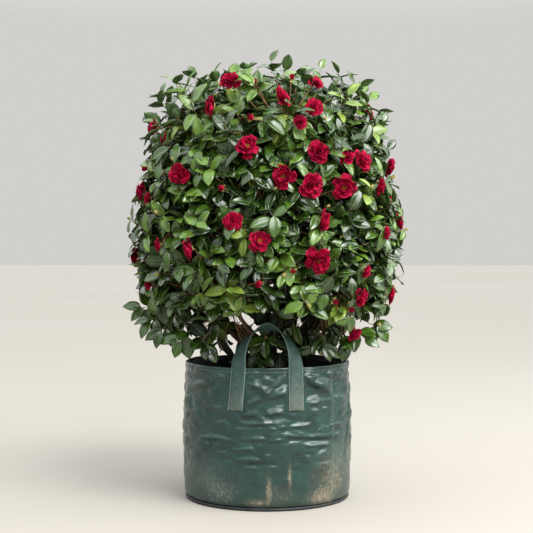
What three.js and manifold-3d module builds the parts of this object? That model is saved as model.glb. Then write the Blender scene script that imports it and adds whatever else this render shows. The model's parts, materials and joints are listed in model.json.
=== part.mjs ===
// A camellia shrub in a round planter bag of woven plastic with two carrying handles.
// Millimetres, +Z up, -Y is the front, and the origin is the middle of the bag's underside.
// A short trunk stands on the potting mix and runs up as a leader. Boughs leave it in tiers,
// and each ends at a mass of twigs, leaves and blooms that keeps to its own cell of the crown.

import * as THREE from "three";
import { mergeVertices } from "three/addons/utils/BufferGeometryUtils.js";
import Module from "manifold-3d";

const wasm = await Module();
wasm.setup();

const CLEAR = 0.3; // gap between pieces that touch
const GOLDEN_ANGLE = Math.PI * (3 - Math.sqrt(5));

// Planter bag
const BAG_HEIGHT = 438;
const BELLY_RADIUS = 272;
const BELLY_HEIGHT = 200;
const RIM_RADIUS = 262;
const WALL = 2;
const BAG_SIDES = 28;
const BASE_HEIGHT = 10; // black base disc with its rolled seam
const BASE_RADIUS = 263;
const CORNER_HEIGHT = 18; // the wall draws in to its bottom seam over this height
const CORNER_INSET = 7;
const BAG_ROWS = [BASE_HEIGHT + CLEAR, 26, 120, 290, BAG_HEIGHT];

// Potting mix
const MIX_TOP = BAG_HEIGHT - 60;

// Handles of flat webbing, sewn to the wall
const STRAP_WIDTH = 47;
const STRAP_THICK = 2.4;
const STRAP_ANGLE = (1.5 * 2 * Math.PI) / BAG_SIDES; // each leg lies on the second face from the front
const STRAP_BOTTOM = BAG_HEIGHT - 130;
const ARCH_HEIGHT = 124; // from the rim to the strap's middle at the top
const ARCH_LEAN = 12; // the top leans in over the bag
const ARCH_STEPS = 16;
const TWIST_AT_TOP = THREE.MathUtils.degToRad(40);

// Crown: a rounded barrel, widest at its middle, that draws in toward its top and its foot
const CROWN_RADIUS = 447;
const CROWN_BOTTOM = 462;
const CROWN_TOP = 1408;
const SHOULDER = 3.2; // how square the upper half is: 2 is round, and more is boxier
const SKIRT = 5; // the lower half keeps its width almost down to the rim
const DRAW_IN_TOP = 0.12; // the share of the radius lost between two heights
const DRAW_IN_TOP_HEIGHTS = [860, 1180];
const DRAW_IN_FOOT = 0.08;
const DRAW_IN_FOOT_HEIGHTS = [560, 740];
const CROWN_MIDDLE = (CROWN_BOTTOM + CROWN_TOP) / 2;
const CROWN_HALF = (CROWN_TOP - CROWN_BOTTOM) / 2;

// Trunk and boughs
const TRUNK_TOP = 985;
const TRUNK_RADIUS = 19;
const TRUNK_TIP_RADIUS = 7;
const FLARE = 11; // added to the radius at the mix
const FLARE_HEIGHT = 28;
const TRUNK_LEAN = 14; // sideways wander of the leader
const BOUGH_RADIUS = 10;
const BOUGH_TIP_RADIUS = 5;

// Tiers of boughs: where they leave the trunk, and where their masses have their middles
const TIERS = [
  { name: "low", count: 6, turn: 8, height: 656, reach: 286, leave: 416, step: 17 },
  { name: "middle", count: 6, turn: 40, height: 908, reach: 284, leave: 545, step: 30 },
  { name: "high", count: 5, turn: -10, height: 1162, reach: 246, leave: 760, step: 38 },
];
const TURN_WANDER = 9; // degrees by which a mass strays from its even place
const HEIGHT_WANDER = 30;
const TOP_MASS_HEIGHT = 1178;

// Foliage
const SEED = 1207;
const SHOOTS = 158; // main twigs over the whole crown, spread evenly under its outline
const LOWEST_SHOOT = -0.93; // the steepest downward slope of a shoot from the crown's middle
const SHOOT_INSET = 62; // a shoot ends about this far inside the outline
const TWIG_RADIUS = 5.5;
const TWIG_TIP_RADIUS = 4;
const LEAVES_PER_SHOOT = 4;
const LEAF_STEP = 9; // between one leaf and the next along a shoot
const LEAF_LENGTH = 124;
const LEAF_WIDTH = 62;
const LEAF_FOLD = 5; // the edges stand this far above the midrib's keel
const CORE_INSET = 88; // the dense heart of the crown lies this far inside the outline
const CORE_LOWEST = 552; // the crown is open and see-through below this
const CORE_GAP = 3; // from a core to the edge of its cell
const CELL_MARGIN = 1.2;

// Blooms: double flowers, each facing out of the crown
const BLOOM_RADIUS = 41;
const BLOOM_DEPTH = 30;
const BLOOM_SIDES = 5;
const BLOOM_INSET = 20; // how far inside the outline a bloom's middle lies
const BLOOM_SPACING = 78;
const SEEDED_BLOOMS = 21;
// Across and up from the bag's middle: the blooms that face the front
const FRONT_BLOOMS = [
  [-110, 1305], [-165, 1230], [40, 1250], [147, 1300], [140, 1225], [-58, 1105], [-258, 1025],
  [150, 1090], [240, 1075], [50, 1015], [125, 990], [228, 985], [345, 993], [-100, 883],
  [-22, 827], [161, 885], [-228, 805], [150, 770], [360, 847], [297, 735], [278, 655],
  [265, 544], [-319, 1143], [-367, 955], [-330, 813], [-364, 690],
];

// A repeatable random sequence, the same for the same seed.
function randomFrom(seed) {
  let state = seed >>> 0;
  return () => {
    state = (state + 0x6d2b79f5) >>> 0;
    let t = Math.imul(state ^ (state >>> 15), state | 1);
    t ^= t + Math.imul(t ^ (t >>> 7), t | 61);
    return ((t ^ (t >>> 14)) >>> 0) / 4294967296;
  };
}

const vec = (x, y, z) => new THREE.Vector3(x, y, z);

// A closed geometry as a solid. Only positions are kept, so that shared corners merge.
function solidOf(geometry) {
  const bare = geometry.clone();
  for (const name of Object.keys(bare.attributes)) {
    if (name !== "position") bare.deleteAttribute(name);
  }
  const merged = mergeVertices(bare, 1e-3);
  return new wasm.Manifold(
    new wasm.Mesh({
      numProp: 3,
      vertProperties: merged.attributes.position.array,
      triVerts: new Uint32Array(merged.index.array),
    }),
  );
}

// A closed geometry from corner points and triangles.
function geometryOf(points, triangles) {
  const positions = new Float32Array(points.flatMap((p) => [p.x, p.y, p.z]));
  return new THREE.BufferGeometry()
    .setAttribute("position", new THREE.BufferAttribute(positions, 3))
    .setIndex(triangles.flat());
}

// A solid back as a geometry for a mesh.
function geometryFromSolid(solid) {
  const mesh = solid.getMesh();
  const geometry = new THREE.BufferGeometry()
    .setAttribute("position", new THREE.BufferAttribute(mesh.vertProperties.slice(), 3))
    .setIndex(new THREE.BufferAttribute(mesh.triVerts.slice(), 1));
  geometry.computeVertexNormals();
  return geometry;
}

// The largest closed body of a solid: loose scraps are dropped and sealed hollows are filled.
function mainBody(solid) {
  return solid.decompose().reduce((a, b) => (b.volume() > a.volume() ? b : a));
}

const touch = (a, b) => !wasm.Manifold.intersection(a, b).isEmpty();

// Rings of corner points joined into a closed skin, with a fan over each end.
function skin(rings) {
  const sides = rings[0].length;
  const last = (rings.length - 1) * sides;
  const triangles = [];
  for (let r = 0; r < rings.length - 1; r++) {
    for (let s = 0; s < sides; s++) {
      const a = r * sides + s;
      const b = r * sides + ((s + 1) % sides);
      triangles.push([a, b, b + sides], [a, b + sides, a + sides]);
    }
  }
  for (let s = 1; s < sides - 1; s++) {
    triangles.push([0, s + 1, s], [last, last + s, last + s + 1]);
  }
  return geometryOf(rings.flat(), triangles);
}

// A tapering limb along a curve: radiusAt gives its radius from 0 at the foot to 1 at the tip.
function limb(curve, radiusAt, sides, steps, grow = 0) {
  const frames = curve.computeFrenetFrames(steps, false);
  const rings = [];
  for (let i = 0; i <= steps; i++) {
    const t = i / steps;
    const middle = curve.getPointAt(t);
    const end = i === 0 ? -grow : i === steps ? grow : 0;
    middle.addScaledVector(frames.tangents[i], end);
    const ring = [];
    for (let s = 0; s < sides; s++) {
      const turn = (2 * Math.PI * s) / sides;
      ring.push(
        middle
          .clone()
          .addScaledVector(frames.normals[i], Math.cos(turn) * (radiusAt(t) + grow))
          .addScaledVector(frames.binormals[i], Math.sin(turn) * (radiusAt(t) + grow)),
      );
    }
    rings.push(ring);
  }
  return solidOf(skin(rings));
}

const taper = (from, to) => (t) => from + (to - from) * t;

// Outer radius of the bag's wall at a height.
function bagRadius(z) {
  const above = (z - BELLY_HEIGHT) / (BAG_HEIGHT - BELLY_HEIGHT);
  const corner = Math.max(0, 1 - (z - BASE_HEIGHT) / CORNER_HEIGHT);
  const belly = BELLY_RADIUS - (BELLY_RADIUS - RIM_RADIUS) * above * above;
  return belly - CORNER_INSET * corner * corner;
}

// The woven wall: an open tube, drawn in at its bottom seam.
function bagWall() {
  const outer = BAG_ROWS.map((z) => new THREE.Vector2(bagRadius(z), z));
  const inner = BAG_ROWS.map((z) => new THREE.Vector2(bagRadius(z) - WALL, z)).reverse();
  return new THREE.LatheGeometry([...outer, ...inner, outer[0]], BAG_SIDES);
}

// The base disc with its rolled black seam.
function bagBase() {
  const profile = [
    [0, 0], [BASE_RADIUS - 4, 0], [BASE_RADIUS, 4], [BASE_RADIUS - 2, BASE_HEIGHT], [0, BASE_HEIGHT],
  ];
  return new THREE.LatheGeometry(profile.map(([r, z]) => new THREE.Vector2(r, z)), BAG_SIDES);
}

// The potting mix that fills the bag to 60 mm below its rim.
function pottingMix() {
  const slack = WALL + CLEAR + 0.2;
  const rows = [BAG_ROWS[0], ...BAG_ROWS.slice(1, -1), MIX_TOP - 6];
  const side = rows.map((z) => new THREE.Vector2(wallRadius(z) - slack, z));
  const top = [new THREE.Vector2(bagRadius(MIX_TOP) * 0.55, MIX_TOP), new THREE.Vector2(0, MIX_TOP)];
  return new THREE.LatheGeometry([new THREE.Vector2(0, BAG_ROWS[0]), ...side, ...top], BAG_SIDES);
}

// Radius of the wall's outer face between its rows, which are joined by straight lines.
function wallRadius(z) {
  const next = Math.max(1, BAG_ROWS.findIndex((row) => row >= z));
  const [low, high] = [BAG_ROWS[next - 1], BAG_ROWS[next]];
  return THREE.MathUtils.mapLinear(z, low, high, bagRadius(low), bagRadius(high));
}

// One handle: a strap up the wall, over in a twisting arch, and down the wall again.
function handle(side) {
  const offset = CLEAR + STRAP_THICK / 2;
  const toFace = Math.cos(Math.PI / BAG_SIDES); // the wall's faces lie this much inside its corners
  const legOut = (hand) => vec(hand * Math.sin(STRAP_ANGLE), -Math.cos(STRAP_ANGLE), 0);
  const legPoint = (hand, z) => legOut(hand).multiplyScalar(wallRadius(z) * toFace + offset).setZ(z);
  const stations = [];
  const addLeg = (hand, heights) => {
    for (const z of heights) {
      const across = vec(0, 0, -hand).cross(legOut(hand));
      stations.push({ at: legPoint(hand, z), out: legOut(hand), across });
    }
  };
  const archPoint = (u) => {
    const spread = Math.abs(Math.sin(u)) ** 1.18;
    const rise = Math.max(0, Math.cos(u)) ** 1.11;
    const foot = legPoint(Math.sign(u) || 1, BAG_HEIGHT);
    return vec(Math.sign(u) * Math.abs(foot.x) * spread, foot.y + ARCH_LEAN * rise, BAG_HEIGHT + ARCH_HEIGHT * rise);
  };
  const twistAtRim = -(Math.PI / 2 - STRAP_ANGLE);
  const legHeights = [STRAP_BOTTOM, ...BAG_ROWS.filter((z) => z > STRAP_BOTTOM)];
  addLeg(-1, legHeights);
  for (let i = 1; i < ARCH_STEPS; i++) {
    const u = Math.PI * (i / ARCH_STEPS - 0.5);
    const along = archPoint(u + 0.02).sub(archPoint(u - 0.02)).normalize();
    const inPlane = vec(-along.z, 0, along.x).normalize();
    const twist = THREE.MathUtils.lerp(TWIST_AT_TOP, twistAtRim, Math.abs(u) / (Math.PI / 2));
    const out = inPlane.multiplyScalar(Math.cos(twist)).add(vec(0, Math.sin(twist), 0));
    out.addScaledVector(along, -out.dot(along)).normalize();
    stations.push({ at: archPoint(u), out, across: along.clone().cross(out) });
  }
  addLeg(1, [...legHeights].reverse());
  const rings = stations.map(({ at, out, across }) =>
    [[-1, -1], [-1, 1], [1, 1], [1, -1]].map(([a, o]) =>
      at.clone().addScaledVector(across, (a * STRAP_WIDTH) / 2).addScaledVector(out, (o * STRAP_THICK) / 2),
    ),
  );
  const geometry = skin(rings);
  return side === "back" ? geometry.rotateZ(Math.PI) : geometry;
}

// The leader's line, from the potting mix to its tip in the upper crown.
const TRUNK_LINE = new THREE.CatmullRomCurve3([
  vec(4, 6, MIX_TOP + CLEAR),
  vec(4, 6, MIX_TOP + 70),
  vec(-TRUNK_LEAN, 0, MIX_TOP + 240),
  vec(TRUNK_LEAN / 2, -8, MIX_TOP + 430),
  vec(0, 0, TRUNK_TOP),
]);

function trunkRadius(t) {
  const height = t * (TRUNK_TOP - MIX_TOP);
  const flare = FLARE * Math.exp(-height / FLARE_HEIGHT);
  return THREE.MathUtils.lerp(TRUNK_RADIUS, TRUNK_TIP_RADIUS, t) + flare;
}

const trunk = (grow = 0) => limb(TRUNK_LINE, trunkRadius, 8, 12, grow);

function trunkPointAt(height) {
  const t = (height - MIX_TOP) / (TRUNK_TOP - MIX_TOP);
  return TRUNK_LINE.getPointAt(t);
}

// Every mass with its middle, its bough's line and its stem's foot, worked out from the tiers.
function layOutMasses() {
  const masses = [];
  const random = randomFrom(SEED + 1);
  const wander = (most) => most * (2 * random() - 1);
  for (const tier of TIERS) {
    for (let i = 0; i < tier.count; i++) {
      const turn = tier.turn + (360 * i) / tier.count + wander(TURN_WANDER);
      const angle = THREE.MathUtils.degToRad(turn);
      const out = vec(Math.cos(angle), Math.sin(angle), 0);
      const middle = out.clone().multiplyScalar(tier.reach).setZ(tier.height + wander(HEIGHT_WANDER));
      const order = (i * 2) % tier.count + (tier.count % 2 === 0 && i >= tier.count / 2 ? 1 : 0);
      const foot = trunkPointAt(tier.leave + tier.step * order);
      const tip = foot.clone().lerp(middle, 0.62).add(vec(0, 0, 12));
      const bend = foot.clone().lerp(tip, 0.5).addScaledVector(out, 26).add(vec(0, 0, -14));
      masses.push({
        name: `${tier.name}_${i + 1}`,
        middle,
        line: new THREE.QuadraticBezierCurve3(foot, bend, tip),
      });
    }
  }
  masses.push({ name: "top", middle: vec(0, 0, TOP_MASS_HEIGHT), line: null });
  return masses;
}

const MASSES = layOutMasses();

const squareness = (z) => (z < CROWN_MIDDLE ? SKIRT : SHOULDER);

// The crown's radius at a height, before its top and bottom are rounded off.
function girth(z) {
  const top = DRAW_IN_TOP * THREE.MathUtils.smoothstep(z, ...DRAW_IN_TOP_HEIGHTS);
  const foot = DRAW_IN_FOOT * (1 - THREE.MathUtils.smoothstep(z, ...DRAW_IN_FOOT_HEIGHTS));
  return CROWN_RADIUS * (1 - top - foot);
}

// Where a point lies in the crown: under 1 is inside its outline, drawn in by an inset.
function crownLevel(p, inset = 0) {
  const across = Math.hypot(p.x, p.y) / (girth(p.z) - inset);
  const up = Math.abs(p.z - CROWN_MIDDLE) / (CROWN_HALF - inset);
  return across ** squareness(p.z) + up ** squareness(p.z);
}

// The space round a handle and just above the rim, which leaves and twigs keep out of.
function nearHandleOrBag(p) {
  const inHandle = Math.abs(p.x) < 128 && Math.abs(p.y) > 190 && p.z < 600;
  return inHandle || p.z < BAG_HEIGHT + 14;
}

function inCell(p, index, margin) {
  const own = MASSES[index].middle;
  return MASSES.every(({ middle }, other) => {
    if (other === index) return true;
    const between = own.clone().lerp(middle, 0.5);
    const away = middle.clone().sub(own).normalize();
    return p.clone().sub(between).dot(away) < -margin;
  });
}

function inSpace(p, index, margin = CELL_MARGIN) {
  return crownLevel(p) < 1 && !nearHandleOrBag(p) && inCell(p, index, margin);
}

// How far a ray runs from a point while a test of its points still holds.
function reach(from, direction, holds) {
  let [near, far] = [0, 900];
  for (let i = 0; i < 22; i++) {
    const half = (near + far) / 2;
    if (holds(from.clone().addScaledVector(direction, half))) near = half;
    else far = half;
  }
  return near;
}

// Sampled points of the trunk and boughs, with their radii, for keeping foliage off them.
const LIMB_POINTS = [];
function sampleLimb(curve, radiusAt) {
  for (let i = 0; i <= 40; i++) {
    LIMB_POINTS.push({ at: curve.getPointAt(i / 40), radius: radiusAt(i / 40) });
  }
}
const boughRadius = taper(BOUGH_RADIUS, BOUGH_TIP_RADIUS);
sampleLimb(TRUNK_LINE, trunkRadius);
MASSES.forEach(({ line }) => line && sampleLimb(line, boughRadius));

function clearOfLimbs(from, to, margin) {
  const line = new THREE.Line3(from, to);
  const nearest = vec(0, 0, 0);
  return LIMB_POINTS.every(({ at, radius }) => {
    line.closestPointToPoint(at, true, nearest);
    return nearest.distanceTo(at) > radius + margin;
  });
}

// A leaf as a thin faceted body: folded up from its keel, widest near its middle.
function leaf(root, along, face, size) {
  const across = face.clone().cross(along).normalize();
  const up = along.clone().cross(across).normalize();
  const length = LEAF_LENGTH * size;
  const half = (LEAF_WIDTH * size) / 2;
  const place = (forward, side, rise) =>
    root.clone().addScaledVector(along, forward).addScaledVector(across, side).addScaledVector(up, rise);
  const points = [
    root.clone(),
    place(length * 0.48, half, LEAF_FOLD),
    place(length * 0.48, -half, LEAF_FOLD),
    place(length, 0, 0),
  ];
  const triangles = [[0, 2, 1], [3, 1, 2], [0, 1, 3], [0, 3, 2]];
  return { points, solid: () => solidOf(geometryOf(points, triangles)) };
}

// A double bloom: a shallow cup that widens from its calyx, with a domed heart.
function bloom(at, out) {
  const turnTo = new THREE.Quaternion().setFromUnitVectors(vec(0, 0, 1), out);
  const ring = (radius, depth) =>
    Array.from({ length: BLOOM_SIDES }, (_, s) => {
      const turn = (2 * Math.PI * s) / BLOOM_SIDES;
      return vec(Math.cos(turn) * radius, Math.sin(turn) * radius, depth).applyQuaternion(turnTo).add(at);
    });
  const rings = [
    ring(BLOOM_RADIUS * 0.16, -BLOOM_DEPTH * 0.55),
    ring(BLOOM_RADIUS, BLOOM_DEPTH * 0.15),
    ring(BLOOM_RADIUS * 0.5, BLOOM_DEPTH * 0.5),
  ];
  return solidOf(skin(rings));
}

// The dense heart of a mass: a faceted lump that fills the mass's cell under its leaves.
function core(index) {
  const middle = MASSES[index].middle;
  const lump = new THREE.IcosahedronGeometry(1, 1);
  const position = lump.attributes.position;
  const inHeart = (p) =>
    crownLevel(p, CORE_INSET) < 1 && p.z > CORE_LOWEST && inSpace(p, index, CORE_GAP);
  for (let i = 0; i < position.count; i++) {
    const direction = vec(0, 0, 0).fromBufferAttribute(position, i).normalize();
    direction.multiplyScalar(reach(middle, direction, inHeart)).add(middle);
    position.setXYZ(i, direction.x, direction.y, direction.z);
  }
  return solidOf(lump);
}

// The tips of the crown's shoots, spread evenly by the golden angle, each in one mass's cell.
function layOutShoots() {
  const random = randomFrom(SEED);
  const centre = vec(0, 0, CROWN_MIDDLE);
  const shoots = [];
  for (let i = 0; i < SHOOTS; i++) {
    const z = 1 - (2 * (i + 0.5)) / SHOOTS;
    const flat = Math.sqrt(1 - z * z);
    const angle = GOLDEN_ANGLE * i;
    const inset = SHOOT_INSET * (0.8 + 0.35 * random());
    const spin = 2 * Math.PI * random();
    const direction = vec(Math.cos(angle) * flat, Math.sin(angle) * flat, z);
    const far = reach(centre, direction, (p) => crownLevel(p, inset) < 1);
    const tip = centre.clone().addScaledVector(direction, far);
    const index = MASSES.findIndex((_, own) => inSpace(tip, own, TWIG_RADIUS));
    if (z > LOWEST_SHOOT && index >= 0) shoots.push({ tip, index, spin });
  }
  return shoots;
}

// Where a ray from the crown's middle line, at a bloom's height, meets the outline.
function bloomOnOutline(direction, height) {
  const power = squareness(height);
  const across = 1 - (Math.abs(height - CROWN_MIDDLE) / CROWN_HALF) ** power;
  const radius = girth(height) * Math.max(0, across) ** (1 / power) - BLOOM_INSET;
  return vec(direction.x * radius, direction.y * radius, height);
}

// Every bloom's place and the way it faces: the front ones as listed, the rest spread by seed.
function placeBlooms() {
  const blooms = [];
  for (const [across, height] of FRONT_BLOOMS) {
    const rim = bloomOnOutline(vec(1, 0, 0), height).x;
    const x = THREE.MathUtils.clamp(across, -rim, rim);
    blooms.push(vec(x, -Math.sqrt(Math.max(0, rim * rim - x * x)), height));
  }
  const random = randomFrom(SEED);
  for (let i = 0; i < SEEDED_BLOOMS; i++) {
    const angle = THREE.MathUtils.degToRad(-20 + (220 * (i + 0.5)) / SEEDED_BLOOMS);
    const height = 640 + 640 * ((i * 0.618 + 0.2 * random()) % 1);
    blooms.push(bloomOnOutline(vec(Math.cos(angle), Math.sin(angle), 0), height));
  }
  const apart = blooms.filter((at, i) =>
    blooms.slice(0, i).every((other) => other.distanceTo(at) > BLOOM_SPACING),
  );
  return apart.map((at) => {
    const lean = (at.z - CROWN_MIDDLE) / CROWN_HALF;
    const out = vec(at.x, at.y, Math.sign(lean) * lean * lean * 260).normalize();
    return { at, out };
  });
}

const BLOOMS = placeBlooms();
const SHOOT_TIPS = layOutShoots();

// One mass: its stem, core, twigs, leaves and blooms, fused into one body.
function foliage(index) {
  const { middle, line } = MASSES[index];
  const solids = [core(index)];

  const tip = line ? line.getPointAt(1) : TRUNK_LINE.getPointAt(1);
  const onward = (line ?? TRUNK_LINE).getTangentAt(1);
  const stemFoot = tip.clone().addScaledVector(onward, CLEAR);
  const stemLine = new THREE.QuadraticBezierCurve3(stemFoot, tip.clone().addScaledVector(onward, 40), middle);
  solids.push(limb(stemLine, taper(BOUGH_TIP_RADIUS - 0.4, TWIG_RADIUS), 4, 2));

  // Twigs and blooms come first, and each leaf is set where it crosses none of them.
  const placed = [];
  const addLeaf = (at, along, size, twig) => {
    const face = vec(at.x, at.y, 0).normalize().multiplyScalar(0.55).add(vec(0, 0, 0.8));
    const made = leaf(at, along, face, size);
    const fits = made.points.slice(1).every((p) => inSpace(p, index));
    if (!fits || !clearOfLimbs(made.points[0], made.points[3], 26 * size)) return false;
    const solid = made.solid();
    if (placed.some((other) => other !== twig && touch(other, solid))) return false;
    placed.push(solid);
    return true;
  };

  const shoots = [];
  for (const { tip: end, spin } of SHOOT_TIPS.filter((shoot) => shoot.index === index)) {
    const lift = end.clone().sub(middle).normalize();
    if (!clearOfLimbs(middle.clone().addScaledVector(lift, 40), end, 8)) continue;
    const twig = limb(new THREE.LineCurve3(middle, end), taper(TWIG_RADIUS, TWIG_TIP_RADIUS), 3, 1);
    placed.push(twig);
    shoots.push({ lift, spin, end, twig });
  }

  for (const { at, out } of BLOOMS) {
    if (!inCell(at, index, BLOOM_RADIUS * 0.55)) continue;
    const back = at.clone().addScaledVector(out, -BLOOM_DEPTH * 0.5);
    if (!clearOfLimbs(middle, back, 6)) continue;
    placed.push(limb(new THREE.LineCurve3(middle, back), taper(TWIG_RADIUS, TWIG_TIP_RADIUS), 3, 1));
    placed.push(bloom(at, out));
  }

  for (const { lift, spin, end, twig } of shoots) {
    const sideways = vec(-lift.y, lift.x, 0.01).normalize();
    const leafAlong = (turn, open) =>
      lift.clone().multiplyScalar(Math.cos(open))
        .addScaledVector(sideways.clone().applyAxisAngle(lift, turn), Math.sin(open))
        .add(vec(0, 0, -0.12)).normalize();
    for (let k = 0; k < LEAVES_PER_SHOOT; k++) {
      const at = end.clone().addScaledVector(lift, -4 - LEAF_STEP * k);
      const open = k === 0 ? 0.6 : 1.1;
      const tries = [0, 0.5, -0.5, 1].flatMap((turn) => [1, 0.8, 0.62].map((size) => ({ turn, size })));
      tries.some(({ turn, size }) =>
        addLeaf(at, leafAlong(spin + GOLDEN_ANGLE * k + turn, open), size, twig),
      );
    }
  }

  return wasm.Manifold.union([...solids, ...placed]);
}

const MATERIALS = {
  weave: new THREE.MeshStandardMaterial({ color: 0x35524a, roughness: 0.38, metalness: 0 }),
  base: new THREE.MeshStandardMaterial({ color: 0x17191b, roughness: 0.6, metalness: 0 }),
  webbing: new THREE.MeshStandardMaterial({ color: 0x4a6560, roughness: 0.75, metalness: 0 }),
  mix: new THREE.MeshStandardMaterial({ color: 0x2b2119, roughness: 0.95, metalness: 0 }),
  bark: new THREE.MeshStandardMaterial({ color: 0x7a5f48, roughness: 0.85, metalness: 0 }),
  leaves: new THREE.MeshStandardMaterial({ color: 0x2f4d25, roughness: 0.35, metalness: 0 }),
};

const plant = new THREE.Group();
function add(name, geometry, material) {
  const mesh = new THREE.Mesh(geometry, material);
  mesh.name = name;
  plant.add(mesh);
}

// A lathe's profile turned upright, so that its axis is the bag's.
const upright = (geometry) => geometry.rotateX(Math.PI / 2);

add("planter_bag", upright(bagWall()), MATERIALS.weave);
add("bag_base", upright(bagBase()), MATERIALS.base);
add("potting_mix", upright(pottingMix()), MATERIALS.mix);
for (const side of ["front", "back"]) add(`handle_${side}`, handle(side), MATERIALS.webbing);

const trunkSolid = trunk();
add("trunk", geometryFromSolid(trunkSolid), MATERIALS.bark);

// Boughs are cut clear of the trunk and of the boughs before them, and foliage of them all.
const limbsGrown = [trunk(CLEAR + 0.1)];
for (const { name, line } of MASSES) {
  if (!line) continue;
  const whole = limb(line, boughRadius, 5, 4);
  const seated = mainBody(wasm.Manifold.difference([whole, ...limbsGrown]));
  limbsGrown.push(limb(line, boughRadius, 5, 4, CLEAR - 0.05));
  add(`bough_${name}`, geometryFromSolid(seated), MATERIALS.bark);
}

MASSES.forEach(({ name }, index) => {
  const clear = wasm.Manifold.difference([foliage(index), ...limbsGrown]);
  add(`foliage_${name}`, geometryFromSolid(mainBody(clear)), MATERIALS.leaves);
});

export default plant;
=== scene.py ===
"""A camellia shrub with double crimson blooms, growing in a woven planter bag.

Metres, +Z up, the front faces -Y, and the origin is the middle of the bag's underside.
"""

import json
import logging
import random
from bisect import bisect_right
from dataclasses import dataclass, field, fields
from enum import Enum
from functools import partial
from math import atan2, copysign, cos, degrees, exp, hypot, inf, pi, radians, sin, sqrt
from typing import Callable, Sequence

import bpy
from bpy.types import Collection, Material, Node, NodeSocket, NodeTree, Object
from mathutils import Matrix, Vector, noise

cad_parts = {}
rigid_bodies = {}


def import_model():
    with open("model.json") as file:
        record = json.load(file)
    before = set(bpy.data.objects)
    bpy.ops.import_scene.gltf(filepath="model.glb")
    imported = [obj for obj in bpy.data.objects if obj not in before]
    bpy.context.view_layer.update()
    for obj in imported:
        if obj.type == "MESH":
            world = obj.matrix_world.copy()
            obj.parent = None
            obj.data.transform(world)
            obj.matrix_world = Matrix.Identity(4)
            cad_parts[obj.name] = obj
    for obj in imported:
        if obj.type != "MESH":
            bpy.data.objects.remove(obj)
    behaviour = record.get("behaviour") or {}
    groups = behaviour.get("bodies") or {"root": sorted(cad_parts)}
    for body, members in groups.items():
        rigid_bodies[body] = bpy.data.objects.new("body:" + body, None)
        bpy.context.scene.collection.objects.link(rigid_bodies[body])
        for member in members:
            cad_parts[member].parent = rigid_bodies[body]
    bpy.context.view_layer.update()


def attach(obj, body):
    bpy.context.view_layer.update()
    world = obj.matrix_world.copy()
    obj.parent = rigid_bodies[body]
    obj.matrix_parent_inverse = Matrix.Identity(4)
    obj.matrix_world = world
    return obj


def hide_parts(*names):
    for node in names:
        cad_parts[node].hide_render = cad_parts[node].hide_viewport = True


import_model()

LOG = logging.getLogger("camellia")
MM = 0.001
GOLDEN_ANGLE = pi * (3 - sqrt(5))
GOLDEN_SHARE = 0.618  # steps of this share spread a sequence evenly over a span
UP = Vector((0, 0, 1))
WORD = 0xFFFFFFFF  # the source's random sequence works in whole 32-bit numbers
Face = tuple[int, ...]


# ---- small tools ----


def linear(colour: str) -> tuple[float, ...]:
    """Turn an sRGB hex colour such as "#2c4a44" to linear red, green, blue and alpha, as shaders work in."""
    channels = [int(colour[i : i + 2], 16) / 255 for i in (1, 3, 5)]
    return *(c / 12.92 if c <= 0.04045 else ((c + 0.055) / 1.055) ** 2.4 for c in channels), 1.0


def blend(low: float, high: float, share: float) -> float:
    """Return the value a share of the way from low to high."""
    return low + (high - low) * share


def smooth_step(low: float, high: float, value: float) -> float:
    """Rise smoothly from 0 at low to 1 at high."""
    share = min(1.0, max(0.0, (value - low) / (high - low)))
    return share * share * (3 - 2 * share)


def polar(angle: float, radius: float = 1.0, z: float = 0.0) -> Vector:
    """Return the point at an angle, a distance from the middle line and a height."""
    return Vector((cos(angle) * radius, sin(angle) * radius, z))


def stray(dice: random.Random, size: float = 1.0) -> Vector:
    """Return a random step of up to size along each axis."""
    return Vector([dice.uniform(-size, size) for _ in range(3)])


def spread(count: int) -> list[Vector]:
    """Return unit directions spread evenly by the golden angle, from the top down."""
    heights = [1 - 2 * (i + 0.5) / count for i in range(count)]
    return [polar(GOLDEN_ANGLE * i, sqrt(1 - z * z), z) for i, z in enumerate(heights)]


def round_angles(count: int) -> list[float]:
    """Return angles evenly spread round the bag, from its back."""
    return [2 * pi * i / count - pi for i in range(count)]


def plug(node: Node, inputs: dict) -> Node:
    """Fill a node's inputs.

    Args:
        node: the node.
        inputs: socket name or number to a value, an output, or a node whose output in use is meant.

    Returns:
        The node.
    """
    for key, value in inputs.items():
        if isinstance(value, Node):
            value = next(out for out in value.outputs if out.enabled)
        if isinstance(value, NodeSocket):
            node.id_data.links.new(value, node.inputs[key])
        else:
            node.inputs[key].default_value = value
    return node


def add_node(tree: NodeTree, kind: str, inputs: dict | None = None, **settings) -> Node:
    """Add a node with its settings, values and links.

    Args:
        tree: the tree it goes in.
        kind: Blender's name for its type, without its family, such as GeometryNode.
        inputs: what its sockets are filled with.
        **settings: its own properties, set before its inputs.

    Returns:
        The new node.
    """
    # A short name can be in two families, and then the one that the tree is made for is meant.
    families = ("", "GeometryNode", "FunctionNode", "ShaderNode")[:: 1 if tree.type == "GEOMETRY" else -1]
    node = tree.nodes.new(next(family + kind for family in families if hasattr(bpy.types, family + kind)))
    for name, value in settings.items():
        setattr(node, name, value)
    return plug(node, inputs or {})


def start_tree(name: str, **inputs: Sequence[str]) -> tuple[NodeTree, Callable, dict]:
    """Start a Geometry Nodes tree with named inputs.

    Args:
        name: its name.
        **inputs: kind of socket to the names of such inputs, after the geometry itself.

    Returns:
        The tree, what adds a node to it, and its inputs by name.
    """
    tree = bpy.data.node_groups.new(name, "GeometryNodeTree")
    for kind, labels in {"Geometry": ["Geometry"], **inputs}.items():
        for label in labels:
            tree.interface.new_socket(label, in_out="INPUT", socket_type="NodeSocket" + kind)
    tree.interface.new_socket("Geometry", in_out="OUTPUT", socket_type="NodeSocketGeometry")
    given = add_node(tree, "NodeGroupInput")
    return tree, partial(add_node, tree), given.outputs


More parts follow.
